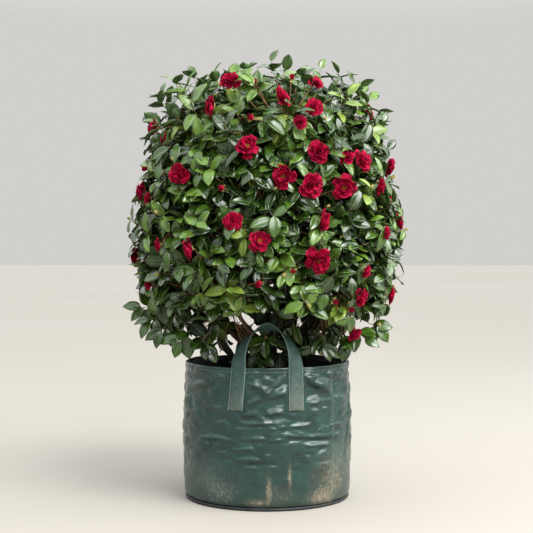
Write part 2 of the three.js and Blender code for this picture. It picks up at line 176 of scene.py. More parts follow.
def end_tree(add: Callable, shape: Node, finish: NodeSocket) -> None:
    """End a tree: make the shape's instances real and give them the material of an input."""
    real = add("RealizeInstances", {0: shape})
    add("NodeGroupOutput", {0: add("SetMaterial", {0: real, "Material": finish})})


def grow(source: Object, tree: NodeTree, values: dict[str, object]) -> Object:
    """Run a Geometry Nodes tree on an object and keep the result as a plain mesh.

    Args:
        source: the object it starts from, which is removed.
        tree: the tree.
        values: input name to value.

    Returns:
        A new object with the finished mesh and no modifier.
    """
    modifier = source.modifiers.new("rule", "NODES")
    modifier.node_group = tree
    for item in tree.interface.items_tree:
        if item.in_out == "INPUT" and item.name in values:
            modifier[item.identifier] = values[item.name]
    depsgraph = bpy.context.evaluated_depsgraph_get()
    mesh = bpy.data.meshes.new_from_object(source.evaluated_get(depsgraph), depsgraph=depsgraph)
    name = source.name
    bpy.data.objects.remove(source)
    mesh.name = name
    result = bpy.data.objects.new(name, mesh)
    bpy.context.scene.collection.objects.link(result)
    return result


def mesh_object(
    name: str, points: Sequence[Vector], faces: Sequence[Face] = (), materials: Sequence[Material] = (),
    slots: Sequence[int] = (), edges: Sequence[Face] = (), smooth: bool = True,
) -> Object:
    """Make a mesh object and put it in the scene.

    Args:
        name: its name.
        points: its corners, in metres.
        faces: each face's corner numbers, counter-clockwise from outside.
        materials: its materials.
        slots: each face's material number, if there is more than one.
        edges: loose edges, which a tree turns into lines.
        smooth: whether its faces are shaded smoothly.

    Returns:
        The object.
    """
    mesh = bpy.data.meshes.new(name)
    mesh.from_pydata([tuple(p) for p in points], edges, faces)
    for material in materials:
        mesh.materials.append(material)
    if slots:
        mesh.polygons.foreach_set("material_index", list(slots))
    mesh.polygons.foreach_set("use_smooth", [smooth] * len(mesh.polygons))
    mesh.update()
    made = bpy.data.objects.new(name, mesh)
    bpy.context.scene.collection.objects.link(made)
    return made


def set_attribute(piece: Object, name: str, kind: str, values: Sequence, domain: str = "POINT") -> None:
    """Write a named attribute on a piece's mesh.

    Args:
        piece: the object.
        name: the attribute's name.
        kind: FLOAT, INT or FLOAT_VECTOR.
        values: one for each element, vectors as triples.
        domain: POINT or FACE.
    """
    layer = piece.data.attributes.new(name, kind, domain)
    if kind == "FLOAT_VECTOR":
        layer.data.foreach_set("vector", [c for value in values for c in value])
    else:
        layer.data.foreach_set("value", list(values))


def set_uv(piece: Object, places: Sequence[tuple[float, float]], girth: float = inf) -> None:
    """Give a piece a UV map, in metres.

    Args:
        piece: the object.
        places: across and along for each point.
        girth: the way round a piece that closes on itself, so that no face spans the map.
    """
    layer = piece.data.uv_layers.new(name="cloth")
    flat: list[float] = []
    for face in piece.data.polygons:
        end = max(places[v][0] for v in face.vertices)
        for v in face.vertices:
            across, along = places[v]
            flat += (across + girth if end - across > girth / 2 else across, along)
    layer.data.foreach_set("uv", flat)


def ring_faces(rows: int, around: int, caps: bool = True) -> list[Face]:
    """Join rings of corners into a tube.

    Args:
        rows: the number of rings.
        around: the number of corners in each.
        caps: whether a face closes each end.

    Returns:
        The tube's faces.
    """
    faces: list[Face] = []
    for start in range(0, (rows - 1) * around, around):
        for i in range(around):
            a, b = start + i, start + (i + 1) % around
            faces.append((a, b, b + around, a + around))
    if caps:
        last = (rows - 1) * around
        faces += [tuple(reversed(range(around))), tuple(range(last, last + around))]
    return faces


def closed_faces(rows: int, around: int) -> list[Face]:
    """Join rings into a body whose first and last corners are the middles of its ends.

    Args:
        rows: the number of rings.
        around: the number of corners in each.

    Returns:
        The body's faces.
    """
    faces = [tuple(c + 1 for c in face) for face in ring_faces(rows, around, caps=False)]
    last, top = (rows - 1) * around + 1, rows * around + 1
    for i in range(around):
        j = (i + 1) % around
        faces += [(0, 1 + j, 1 + i), (top, last + i, last + j)]
    return faces


def shelve(name: str, shapes: Sequence[Object]) -> Collection:
    """Move shapes out of the scene to a collection of their own.

    Args:
        name: its name.
        shapes: the shapes, whose names give their order.

    Returns:
        The collection.
    """
    shelf = bpy.data.collections.new(name)
    bpy.context.scene.collection.children.link(shelf)
    for shape in shapes:
        bpy.context.scene.collection.objects.unlink(shape)
        shelf.objects.link(shape)
    return shelf


def hand_in(piece: Object, slot: str, *nodes: str) -> Object:
    """Attach a piece to the root body and hide the CAD nodes that it stands for.

    Args:
        piece: the piece.
        slot: its material in the part's record; not used.
        *nodes: the nodes.

    Returns:
        The piece.
    """
    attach(piece, "root")
    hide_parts(*nodes)
    return piece


class Dice:
    """The repeatable random sequence that the part's source uses."""

    def __init__(self, seed: int) -> None:
        """Start the sequence from a seed."""
        self.state = seed & WORD

    def roll(self) -> float:
        """Draw the next number.

        Returns:
            A number from 0 to 1.
        """
        self.state = (self.state + 0x6D2B79F5) & WORD
        t = ((self.state ^ (self.state >> 15)) * (self.state | 1)) & WORD
        t ^= (t + (((t ^ (t >> 7)) * (t | 61)) & WORD)) & WORD
        return ((t ^ (t >> 14)) & WORD) / (WORD + 1)


class Line:
    """A curve known by close samples, measured along its length."""

    def __init__(self, points: Sequence[Vector]) -> None:
        """Measure the curve.

        Args:
            points: the samples.
        """
        self.points = list(points)
        self.lengths = [0.0]
        for a, b in zip(points, points[1:]):
            self.lengths.append(self.lengths[-1] + (b - a).length)
        self.length = self.lengths[-1]

    def _span(self, share: float) -> tuple[int, float]:
        """Find a place on the curve.

        Args:
            share: 0 at its start and 1 at its end.

        Returns:
            The number of the sample before it, and how far on to the next it is.
        """
        goal = min(1.0, max(0.0, share)) * self.length
        low = min(bisect_right(self.lengths, goal), len(self.lengths) - 1) - 1
        step = self.lengths[low + 1] - self.lengths[low]
        return low, (goal - self.lengths[low]) / step if step > 0 else 0.0

    def at(self, share: float) -> Vector:
        """Return the point at a share of the length."""
        i, part = self._span(share)
        return self.points[i].lerp(self.points[i + 1], part)

    def heading(self, share: float) -> Vector:
        """Return the direction the curve runs in at a share of the length."""
        i, _ = self._span(share)
        return (self.points[i + 1] - self.points[i]).normalized()


def bow(start: Vector, bend: Vector, end: Vector, samples: int = 12) -> Line:
    """Return the curve that leaves start towards bend and reaches end from it."""
    steps = [i / samples for i in range(samples + 1)]
    return Line([start * (1 - t) ** 2 + bend * 2 * t * (1 - t) + end * t * t for t in steps])


def even_curve(points: Sequence[Vector], samples: int = 48) -> Line:
    """Make a centripetal curve through points, as the part's source does.

    Args:
        points: the points.
        samples: steps from each point to the next.

    Returns:
        The curve.
    """
    ends = [points[0] * 2 - points[1], *points, points[-1] * 2 - points[-2]]
    made = []
    for i in range(len(points) - 1):
        a, b, c, d = ends[i : i + 4]
        d0, d1, d2 = sqrt((b - a).length), sqrt((c - b).length), sqrt((d - c).length)
        out_b = ((b - a) / d0 - (c - a) / (d0 + d1) + (c - b) / d1) * d1
        in_c = ((c - b) / d1 - (d - b) / (d1 + d2) + (d - c) / d2) * d1
        for k in range(samples + (i == len(points) - 2)):
            t = k / samples
            cubic = (b - c) * 2 + out_b + in_c
            square = (c - b) * 3 - out_b * 2 - in_c
            made.append(b + out_b * t + square * t * t + cubic * t**3)
    return Line(made)


# ---- the crown's rule, as the part's source has it ----


class Bloom(Enum):
    """How a bloom is built and how far it has opened."""

    FORMAL = "formal"
    FULL = "full"
    LOOSE = "loose"
    OPENING = "opening"


FORMAL, FULL, LOOSE, OPENING = Bloom


@dataclass(frozen=True)
class Mass:
    """One mass of foliage: where its middle is, and the bough that carries it."""

    name: str
    middle: Vector
    bough: Line | None


@dataclass(frozen=True)
class Shoot:
    """A main twig's tip and the mass it belongs to."""

    tip: Vector
    mass: int


@dataclass(frozen=True)
class BloomPlace:
    """Where a bloom sits and which way it faces."""

    at: Vector
    out: Vector
    form: Bloom
    size: float


@dataclass
class CrownPlan:
    """The rule that lays out trunk, boughs, masses, shoots and blooms."""

    mix_top: float = 0.378
    gap: float = 0.0003
    crown_radius: float = 0.447
    crown_bottom: float = 0.462
    crown_top: float = 1.408
    shoulder: float = 3.2
    skirt: float = 5.0
    draw_in_top: float = 0.12
    top_heights: tuple = (0.86, 1.18)
    draw_in_foot: float = 0.08
    foot_heights: tuple = (0.56, 0.74)
    trunk_top: float = 0.985
    trunk_radius: float = 0.019
    trunk_tip_radius: float = 0.007
    flare: float = 0.011
    flare_height: float = 0.028
    trunk_lean: float = 0.014
    bough_radius: float = 0.01
    bough_tip_radius: float = 0.005
    top_mass_height: float = 1.178
    bough_reach: float = 0.62  # a bough's tip, as a share of the way from the trunk to its mass
    bough_bow: tuple = (0.026, 0.014)  # how far out and down its middle bends
    handle_zone: tuple = (0.128, 0.19, 0.6)  # half its width, how far out it starts, and its top
    leaf_floor: float = 0.452
    turn_wander: float = 9.0
    height_wander: float = 0.03
    seed: int = 1207
    shoot_count: int = 158
    lowest_shoot: float = -0.93
    shoot_inset: float = 0.062
    bloom_inset: float = 0.02
    bloom_spacing: float = 0.078
    bloom_tilt: float = 0.26  # how far up or down a bloom at the crown's top or foot faces
    seeded_blooms: int = 21
    seeded_turns: tuple = (-20, 220)  # in degrees, the first and how far round the rest go
    seeded_heights: tuple = (0.64, 0.64)  # the lowest and how far up the rest go
    # Each tier's name and count, its first turn in degrees, its masses' height and reach, and the height
    # that its first bough leaves the trunk at, with the step to the next.
    tiers: tuple = (
        ("low", 6, 8, 0.656, 0.286, 0.416, 0.017),
        ("middle", 6, 40, 0.908, 0.284, 0.545, 0.03),
        ("high", 5, -10, 1.162, 0.246, 0.76, 0.038),
    )
    # Each bloom's place across and up in millimetres, form, turn to the side in degrees, and size.
    front_blooms: tuple = (
        (-110, 1305, FULL, 0, 0.8), (-165, 1230, FULL, -35, 0.8), (40, 1250, FULL, 62, 0.9),
        (147, 1300, FULL, 20, 0.6), (140, 1225, FORMAL, 5, 0.74), (-58, 1105, LOOSE, 0, 0.82),
        (-258, 1025, FULL, 20, 0.86), (150, 1090, FULL, 0, 0.84), (240, 1075, FULL, -20, 0.55),
        (50, 1015, LOOSE, -25, 0.93), (125, 990, FULL, -8, 0.95), (228, 985, LOOSE, -20, 0.9),
        (345, 993, FULL, 10, 0.66), (-100, 883, FORMAL, 5, 0.76), (-22, 827, LOOSE, 5, 0.78),
        (161, 885, FULL, 38, 0.84), (-228, 805, FULL, -50, 0.8), (150, 770, LOOSE, -5, 0.96),
        (360, 847, FULL, 0, 0.64), (297, 735, FULL, 0, 0.5), (278, 655, FULL, 0, 0.76),
        (265, 544, FULL, 5, 0.66), (-319, 1143, FULL, 0, 0.5), (-367, 955, FULL, 0, 0.5),
        (-330, 813, FULL, -10, 0.5), (-364, 690, FULL, 0, 0.5),
    )
    small_blooms: tuple = (  # too small for the source: half hidden flowers and opening buds
        (284, 1066, FULL, -12, 0.84), (98, 1178, FORMAL, 0, 0.6), (-47, 1190, OPENING, 0, 0.8),
        (-23, 703, OPENING, 0, 0.8), (-133, 983, OPENING, 0, 0.7), (-390, 1060, OPENING, 0, 0.8),
        (202, 645, OPENING, 0, 0.6), (75, 739, OPENING, 0, 0.5), (-37, 1304, OPENING, 0, 0.6),
        (74, 1318, OPENING, 0, 0.6), (250, 619, OPENING, 10, 0.6),
    )

    def __post_init__(self) -> None:
        """Work out the trunk's line and the masses."""
        low, lean = self.mix_top, self.trunk_lean
        self.middle_height = (self.crown_bottom + self.crown_top) / 2
        self.half_height = (self.crown_top - self.crown_bottom) / 2
        stations = (
            (0.004, 0.006, low + self.gap), (0.004, 0.006, low + 0.07), (-lean, 0, low + 0.24),
            (lean / 2, -0.008, low + 0.43), (0, 0, self.trunk_top),
        )
        self.trunk = even_curve([Vector(p) for p in stations])
        self.masses: list[Mass] = []
        dice = Dice(self.seed + 1)
        for name, count, turn, height, reach, leave, step in self.tiers:
            for i in range(count):
                out = polar(radians(turn + 360 * i / count + self.turn_wander * (2 * dice.roll() - 1)))
                middle = out * reach
                middle.z = height + self.height_wander * (2 * dice.roll() - 1)
                order = (i * 2) % count + (1 if count % 2 == 0 and i >= count / 2 else 0)
                up = (leave + step * order - self.mix_top) / (self.trunk_top - self.mix_top)
                foot = self.trunk.at(up)
                tip = foot.lerp(middle, self.bough_reach) + UP * 0.012
                bend = foot.lerp(tip, 0.5) + out * self.bough_bow[0] - UP * self.bough_bow[1]
                self.masses.append(Mass(f"{name}_{i + 1}", middle, bow(foot, bend, tip, 24)))
        self.masses.append(Mass("top", Vector((0, 0, self.top_mass_height)), None))
        self.foliage_nodes = [f"foliage_{mass.name}" for mass in self.masses]

    def trunk_width(self, share: float) -> float:
        """Return the trunk's radius at a share of its length, flare included."""
        flare = self.flare * exp(-share * (self.trunk_top - self.mix_top) / self.flare_height)
        return blend(self.trunk_radius, self.trunk_tip_radius, share) + flare

    def squareness(self, z: float) -> float:
        """Return how boxy the crown's outline is at a height."""
        return self.skirt if z < self.middle_height else self.shoulder

    def girth(self, z: float) -> float:
        """Return the crown's radius at a height, before its top and bottom are rounded off."""
        top, foot = smooth_step(*self.top_heights, z), 1 - smooth_step(*self.foot_heights, z)
        return self.crown_radius * (1 - self.draw_in_top * top - self.draw_in_foot * foot)

    def rise(self, z: float, inset: float = 0.0) -> float:
        """Return how far a height is from the crown's middle, with 1 at its top and bottom."""
        return abs(z - self.middle_height) / (self.half_height - inset)

    def level(self, p: Vector, inset: float = 0.0) -> float:
        """Return under 1 for a point inside the outline as drawn in by an inset, and over 1 outside it."""
        power, across = self.squareness(p.z), hypot(p.x, p.y) / (self.girth(p.z) - inset)
        return across**power + self.rise(p.z, inset) ** power

    def near_handle_or_bag(self, p: Vector) -> bool:
        """Say whether a point is where leaves would foul a handle or the rim."""
        half, out, top = self.handle_zone
        return (abs(p.x) < half and abs(p.y) > out and p.z < top) or p.z < self.leaf_floor

    def mass_of(self, p: Vector) -> int:
        """Return the number of the mass whose middle is nearest to a point."""
        return min(range(len(self.masses)), key=lambda i: (self.masses[i].middle - p).length_squared)

    def outline_point(self, direction: Vector, inset: float) -> Vector:
        """Find where a ray from the crown's middle meets its outline.

        Args:
            direction: the ray's unit direction.
            inset: how far the outline is drawn in.

        Returns:
            The point.
        """
        centre = Vector((0, 0, self.middle_height))
        near, far = 0.0, 0.9
        for _ in range(22):
            half = (near + far) / 2
            inside = self.level(centre + direction * half, inset) < 1
            near, far = (half, far) if inside else (near, half)
        return centre + direction * near

    def shoots(self) -> list[Shoot]:
        """Lay out the main twigs' tips under the crown's outline.

        Returns:
            The shoots.
        """
        dice = Dice(self.seed)
        made = []
        for direction in spread(self.shoot_count):
            inset = self.shoot_inset * (0.8 + 0.35 * dice.roll())
            dice.roll()  # the source's turn of the first leaf
            tip = self.outline_point(direction, inset)
            if direction.z > self.lowest_shoot and not self.near_handle_or_bag(tip):
                made.append(Shoot(tip, self.mass_of(tip)))
        return made

    def bloom_radius_at(self, height: float) -> float:
        """Return how far from the middle line a bloom sits at a height."""
        power = self.squareness(height)
        return self.girth(height) * max(0.0, 1 - self.rise(height) ** power) ** (1 / power) - self.bloom_inset

    def blooms(self) -> list[BloomPlace]:
        """Place the blooms: the front ones as listed, the others by seed.

        Returns:
            Every bloom's place, facing, form and size.
        """
        found = [self._on_front(*row) for row in self.front_blooms]
        dice, (first, sweep), (low, band) = Dice(self.seed), self.seeded_turns, self.seeded_heights
        for i in range(self.seeded_blooms):
            angle = radians(first + sweep * (i + 0.5) / self.seeded_blooms)
            height = low + band * ((i * GOLDEN_SHARE + 0.2 * dice.roll()) % 1)
            at = polar(angle, self.bloom_radius_at(height), height)
            found.append((at, (FORMAL, FULL, LOOSE)[i % 3], 0, 0.78 + 0.06 * (i % 4)))
        near = self.bloom_spacing
        kept = [a for i, a in enumerate(found) if all((a[0] - b[0]).length > near for b in found[:i])]
        places = []
        for at, form, turn, size in kept + [self._on_front(*row) for row in self.small_blooms]:
            lean = (at.z - self.middle_height) / self.half_height
            out = Vector((at.x, at.y, copysign(lean * lean * self.bloom_tilt, lean))).normalized()
            out.rotate(Matrix.Rotation(radians(turn), 3, "Z"))
            places.append(BloomPlace(at, out, form, size))
        return places

    def _on_front(self, across: float, height: float, form: Bloom, turn: float, size: float) -> tuple:
        """Place one bloom on the crown's front.

        Args:
            across: how far right of the middle it is, in millimetres.
            height: its height, in millimetres.
            form: its form.
            turn: its turn to the side, in degrees.
            size: its size.

        Returns:
            Its point, form, turn and size.
        """
        rim = self.bloom_radius_at(height * MM)
        x = min(rim, max(-rim, across * MM))
        return Vector((x, -sqrt(max(0.0, rim * rim - x * x)), height * MM)), form, turn, size


# ---- finishes ----


def start_material(name: str) -> tuple[Material, Callable, Node, NodeSocket]:
    """Start a node material.

    Args:
        name: its name.

    Returns:
        The material, what adds a node to it, its shader, and the object's own coordinates.
    """
    material = bpy.data.materials.new(name)
    material.use_nodes = True
    add = partial(add_node, material.node_tree)
    return material, add, material.node_tree.nodes["Principled BSDF"], add("TexCoord").outputs["Object"]


def wave_scale(period: float) -> float:
    """Return the Wave Texture scale whose bands repeat every period, in metres."""
    return 2 * pi / (20 * period)


def mottle(add: Callable, place: NodeSocket, size: float, low: str, high: str) -> Node:
    """Mix two colours in soft patches.

    Args:
        add: what adds a node.
        place: the coordinates the patches lie in.
        size: a patch's width, in metres.
        low: the darker hex colour.
        high: the lighter one.

    Returns:
        The node with the colour.
    """
    patches = add("TexNoise", {"Vector": place, "Scale": 1 / size, "Detail": 3.0})
    share = add("MapRange", {0: patches, 1: 0.34, 2: 0.66})
    return add("Mix", {0: share, 6: linear(low), 7: linear(high)}, data_type="RGBA")


@dataclass(frozen=True)
class SoftFinish:
    """A surface with two soft tones and a fine relief, named for the real material."""

    name: str
    shade: str
    light: str
    patch: float  # width of a patch of tone
    grain: float  # width of the relief's bumps
    relief: float  # their depth
    roughness: float
    uneven: float = 0.0  # how much the roughness wanders with the relief
    woven: float = 0.0  # the relief's strength, where it is a weave's rows
    sockets: tuple = ()

    def build(self) -> Material:
        """Make the material.

        Returns:
            The material.
        """
        material, add, shader, place = start_material(self.name)
        colour = mottle(add, place, self.patch, self.shade, self.light)
        if self.woven:
            rows = {"Vector": place, "Scale": wave_scale(self.grain)}
            grain = add("TexWave", rows, bands_direction="Z").outputs[1]
        else:
            grain = add("TexNoise", {"Vector": place, "Scale": 1 / self.grain, "Detail": 2.0})
        bump = add("Bump", {"Height": grain, "Strength": self.woven or 0.3, "Distance": self.relief})
        dull, wander = self.roughness, self.uneven
        if wander:
            dull = add("MapRange", {0: grain, 3: dull - wander, 4: dull + wander})
        plug(shader, {"Base Color": colour, "Normal": bump, "Roughness": dull, **dict(self.sockets)})
        return material


def leaf_finish(
    name: str, shade: str, light: str, roughness: float = 0.26, coat: float = 0.36, ior: float = 1.48
) -> SoftFinish:
    """Describe a living leaf: thick waxy cuticle, so glossy, its fine veins drawn 4 mm apart."""
    wax = (("IOR", ior), ("Coat Weight", coat), ("Coat Roughness", 0.15))
    return SoftFinish(name, shade, light, 0.034, 0.004, 0.0006, roughness, 0.07, sockets=wax)


# Petals are soft velvety cells that scatter light, deepest in the folds.
PETAL_FINISH = SoftFinish(
    "crimson_petal", "#480011", "#ae0536", 0.012, 0.003, 0.0005, 0.6,
    sockets=(
        ("IOR", 1.18), ("Sheen Weight", 0.04), ("Sheen Roughness", 0.4), ("Sheen Tint", linear("#ff3f7a")),
    ),
)
# Ribs, undersides, buds and anthers are smooth living tissue with a satin look.
RIB_FINISH = SoftFinish("leaf_midrib", "#4a6a30", "#66843f", 0.03, 0.002, 0.0003, 0.42)
UNDERSIDE_FINISH = SoftFinish("leaf_underside", "#31481f", "#4d682f", 0.03, 0.004, 0.0006, 0.58)
STAMEN_FINISH = SoftFinish("golden_stamens", "#b9741a", "#e8b64a", 0.003, 0.002, 0.0003, 0.6)
BUD_FINISH = SoftFinish("downy_bud_scales", "#6f7d34", "#c3a566", 0.009, 0.002, 0.0003, 0.55)
# Thread is bonded, so it is smooth and only a little shiny.
THREAD_FINISH = SoftFinish("bonded_nylon_thread", "#5f7068", "#87968b", 0.004, 0.001, 0.0002, 0.5)
# The bag is lined with black woven cloth, matt, with damp earth on it. The base is the same, worn dull.
LINING_FINISH = SoftFinish("black_woven_lining", "#0b0c0d", "#1d2022", 0.03, 0.0055, 0.0004, 0.6, woven=0.4)
BASE_FINISH = SoftFinish("black_base_cloth", "#090a0b", "#1b1d1f", 0.03, 0.0055, 0.0006, 0.6)
FLOOR_FINISH = SoftFinish("painted_studio_floor", "#969086", "#99938a", 3.0, 0.01, 0.0004, 0.85)


@dataclass(frozen=True)
class BarkFinish:
    """Camellia bark: thin, smooth and fawn, with fine wrinkles and grey lichen patches."""

    name: str
    shade: str
    light: str
    lichen: str
    lichen_share: float

    def build(self) -> Material:
        """Make the material.

        Returns:
            The material.
        """
        material, add, shader, place = start_material(self.name)
        bark = mottle(add, place, 0.011, self.shade, self.light)
        patches = add("TexNoise", {"Vector": place, "Scale": 1 / 0.021, "Detail": 4.0})
        edge = 0.72 - 0.2 * self.lichen_share
        grey = add("MapRange", {0: patches, 1: edge, 2: edge + 0.05, 4: self.lichen_share})
        squeezed = add("Mapping", {"Vector": place, "Scale": (1.0, 1.0, 3.2)})
        wrinkles = add("TexNoise", {"Vector": squeezed, "Scale": 1 / 0.005, "Detail": 5.0})
        bump = add("Bump", {"Height": wrinkles, "Strength": 0.7, "Distance": 0.001})
        mixed = add("Mix", {0: grey, 6: bark, 7: linear(self.lichen)}, data_type="RGBA")
        plug(shader, {"Base Color": mixed, "Normal": bump, "Roughness": 0.78})
        return material


# A patch of dried earth, or of pale scuffs, on the bag: its turn round from the front in degrees, its
# height, half width along the cloth and half height in metres, and its amount.
EARTH_STAINS = (
    (50, 0.08, 0.085, 0.1, 0.22), (36, 0.03, 0.06, 0.03, 0.2), (15, 0.108, 0.007, 0.042, 0.27),
    (1, 0.07, 0.01, 0.048, 0.24), (-7, 0.026, 0.04, 0.014, 0.24), (8, 0.045, 0.06, 0.04, 0.12),
    (-78, 0.27, 0.04, 0.15, 0.12), (-54, 0.362, 0.03, 0.014, 0.13), (80, 0.11, 0.04, 0.12, 0.11),
    (120, 0.06, 0.09, 0.06, 0.18), (152, 0.09, 0.07, 0.08, 0.17), (218, 0.04, 0.11, 0.03, 0.2),
    (248, 0.12, 0.06, 0.1, 0.14),
)
PALE_STAINS = (
    (-44, 0.085, 0.11, 0.07, 0.16), (-30, 0.05, 0.06, 0.04, 0.12), (58, 0.13, 0.06, 0.07, 0.12),
    (140, 0.12, 0.1, 0.06, 0.15), (225, 0.07, 0.09, 0.06, 0.15),
)


@dataclass(frozen=True)
class WovenPolyFinish:
    """Woven polyethylene tape under clear film: green, softly shiny, dusty where it was handled."""

    name: str = "woven_polyethylene"
    deep: str = "#0d2420"
    pale: str = "#193731"
    tape_tone: str = "#294b44"
    scuff: str = "#526c67"
    haze: str = "#8b918a"
    dust: str = "#9c8a72"
    tape: float = 0.0055  # real tapes are 2.5 mm, drawn coarser so that they show
    round_length: float = 0.272
    roughness: float = 0.28

    def _stained(self, add: Callable, cloth: NodeSocket, stains: Sequence[tuple[float, ...]]) -> Node:
        """Add up the stains of one kind and break them into specks and runs.

        Args:
            add: what adds a node.
            cloth: the map, in metres round and up the bag.
            stains: the stains.

        Returns:
            The node with the amount of stain.
        """
        tall = add("Mapping", {"Vector": cloth, "Scale": (1.0, 0.55, 1.0)})
        fine = {"Vector": tall, "Scale": 1 / 0.009, "Detail": 9.0, "Roughness": 0.78}
        grain = add("TexNoise", fine)
        total: float | Node = 0.0
        for turn, height, half_width, half_height, amount in stains:
            u = radians((turn + 180) % 360 - 180) * self.round_length
            shift = (-u / half_width, -height / half_height, 0)
            moved = add(
                "Mapping", {"Vector": cloth, "Location": shift, "Scale": (1 / half_width, 1 / half_height, 0)}
            )
            away = add("VectorMath", {0: moved}, operation="LENGTH")
            near = add("MapRange", {0: away, 1: 1.35, 2: 0.2, 4: amount})
            total = add("Math", {0: total, 1: near}, operation="ADD")
        both = add("Math", {0: grain, 1: total}, operation="ADD")
        specks = add("MapRange", {0: both, 1: 0.62, 2: 0.94, 4: 0.8})
        veil = add("Math", {0: total, 1: grain}, operation="MULTIPLY")
        thick = add("Math", {0: veil, 1: 1.1}, operation="MULTIPLY")
        return add("Math", {0: specks, 1: thick}, operation="MAXIMUM")

    def build(self) -> Material:
        """Make the material.

        Returns:
            The material.
        """
        material, add, shader, place = start_material(self.name)
        cloth = add("UVMap", uv_map="cloth").outputs[0]
        band = {"Vector": cloth, "Scale": wave_scale(self.tape)}
        across, up = (add("TexWave", band, bands_direction=way).outputs[1] for way in "XY")
        weave = add("Math", {0: across, 1: up}, operation="MULTIPLY")
        thin = add("Math", {0: weave, 1: 0.35}, operation="MULTIPLY")

        # A grey bloom of scuffs and dried water, in fine broken patches.
        broken = {"Vector": place, "Scale": 1 / 0.016, "Detail": 7.0, "Roughness": 0.72}
        scuffs = add("MapRange", {0: add("TexNoise", broken), 1: 0.56, 2: 0.8, 4: 0.26})
        pale, earth = self._stained(add, cloth, PALE_STAINS), self._stained(add, cloth, EARTH_STAINS)
        colour = mottle(add, place, 0.06, self.deep, self.pale)
        layers = ((thin, self.tape_tone), (scuffs, self.scuff), (pale, self.haze), (earth, self.dust))
        for share, tone in layers:
            colour = add("Mix", {0: share, 6: colour, 7: linear(tone)}, data_type="RGBA")
        dull = self.roughness
        for share, added in ((scuffs, 0.3), (pale, 0.35), (earth, 0.45)):
            dull = add("Math", {0: share, 1: added, 2: dull}, operation="MULTIPLY_ADD")

        level = add("Mapping", {"Vector": place, "Scale": (1.0, 1.0, 2.2)})
        crinkle = add("TexNoise", {"Vector": level, "Scale": 1 / 0.024, "Detail": 4.0, "Roughness": 0.55})
        creased = add("Bump", {"Height": crinkle, "Strength": 0.3, "Distance": 0.004})
        woven = add("Bump", {"Height": weave, "Normal": creased, "Strength": 0.3, "Distance": 0.0003})
        plug(shader, {"Base Color": colour, "Normal": woven, "Roughness": dull, "IOR": 1.51})
        return material


@dataclass(frozen=True)
class WebbingFinish:
    """Polypropylene webbing: flat woven ribs, pale edges painted as a highlight on the selvedges, dusty
    towards its sewn ends.
    """

    name: str = "polypropylene_webbing"
    deep: str = "#1a3430"
    pale: str = "#264540"
    # The pale edge colour is a painted highlight on the selvedges.
    edge: str = "#566d64"
    dust: str = "#8c8474"
    rib: float = 0.0042  # real ribs are 1.5 mm, drawn coarser so that they show
    half_width: float = 0.0235
    leg_end: float = 0.13

    def build(self) -> Material:
        """Make the material. The map runs across the strap, and along it from its lower end.

        Returns:
            The material.
        """
        material, add, shader, place = start_material(self.name)
        cloth = add("UVMap", uv_map="cloth").outputs[0]
        across, along, _ = add("SeparateXYZ", {0: cloth}).outputs
        # A pale border along both edges: a painted highlight on the selvedges.
        off_centre = add("Math", {0: across}, operation="ABSOLUTE")
        limits = {1: self.half_width - 0.003, 2: self.half_width - 0.0005, 4: 0.75}
        border = add("MapRange", {0: off_centre, **limits})
        plain = mottle(add, cloth, 0.03, self.deep, self.pale)
        selvedge_highlighted = add("Mix", {0: border, 6: plain, 7: linear(self.edge)}, data_type="RGBA")

        specks = add("TexNoise", {"Vector": cloth, "Scale": 1 / 0.012, "Detail": 6.0, "Roughness": 0.7})
        low = add("MapRange", {0: along, 1: 0.0, 2: self.leg_end, 3: 0.22, 4: -0.1})
        right = add("SeparateXYZ", {0: place}).outputs[0]
        side = add("Math", {0: right, 1: 0.35, 2: low}, operation="MULTIPLY_ADD")
        soiled = add("Math", {0: specks, 1: side}, operation="ADD")
        dusty = add("MapRange", {0: soiled, 1: 0.46, 2: 1.0, 4: 0.43})
        colour = add("Mix", {0: dusty, 6: selvedge_highlighted, 7: linear(self.dust)}, data_type="RGBA")

        ribs, twill = (
            add("TexWave", {"Vector": cloth, "Scale": wave_scale(gap)}, bands_direction=way).outputs[1]
            for gap, way in ((self.rib, "Y"), (self.rib * 0.8, "DIAGONAL"))
        )
        woven = add("Math", {0: ribs, 1: twill}, operation="ADD")
        bump = add("Bump", {"Height": woven, "Strength": 0.5, "Distance": 0.0005})
        plug(shader, {"Base Color": colour, "Normal": bump, "Roughness": 0.62})
        return material


# ---- trees that repeat things ----


def twig_tree() -> NodeTree:
    """Build the tree that turns loose edges into tapering twigs.

    Returns:
        A tree with inputs Sides and Bark; each point's "thick" is its radius.
    """
    tree, add, given = start_tree("twigs", Int=["Sides"], Material=["Bark"])
    thick = add("InputNamedAttribute", {"Name": "thick"}, data_type="FLOAT")
    lines = add("MeshToCurve", {"Mesh": given["Geometry"]})
    ring = add("CurvePrimitiveCircle", {"Resolution": given["Sides"], "Radius": 1.0})
    swept = {"Curve": lines, "Profile Curve": ring, "Scale": thick, "Fill Caps": True}
    end_tree(add, add("CurveToMesh", swept), given["Bark"])
    return tree


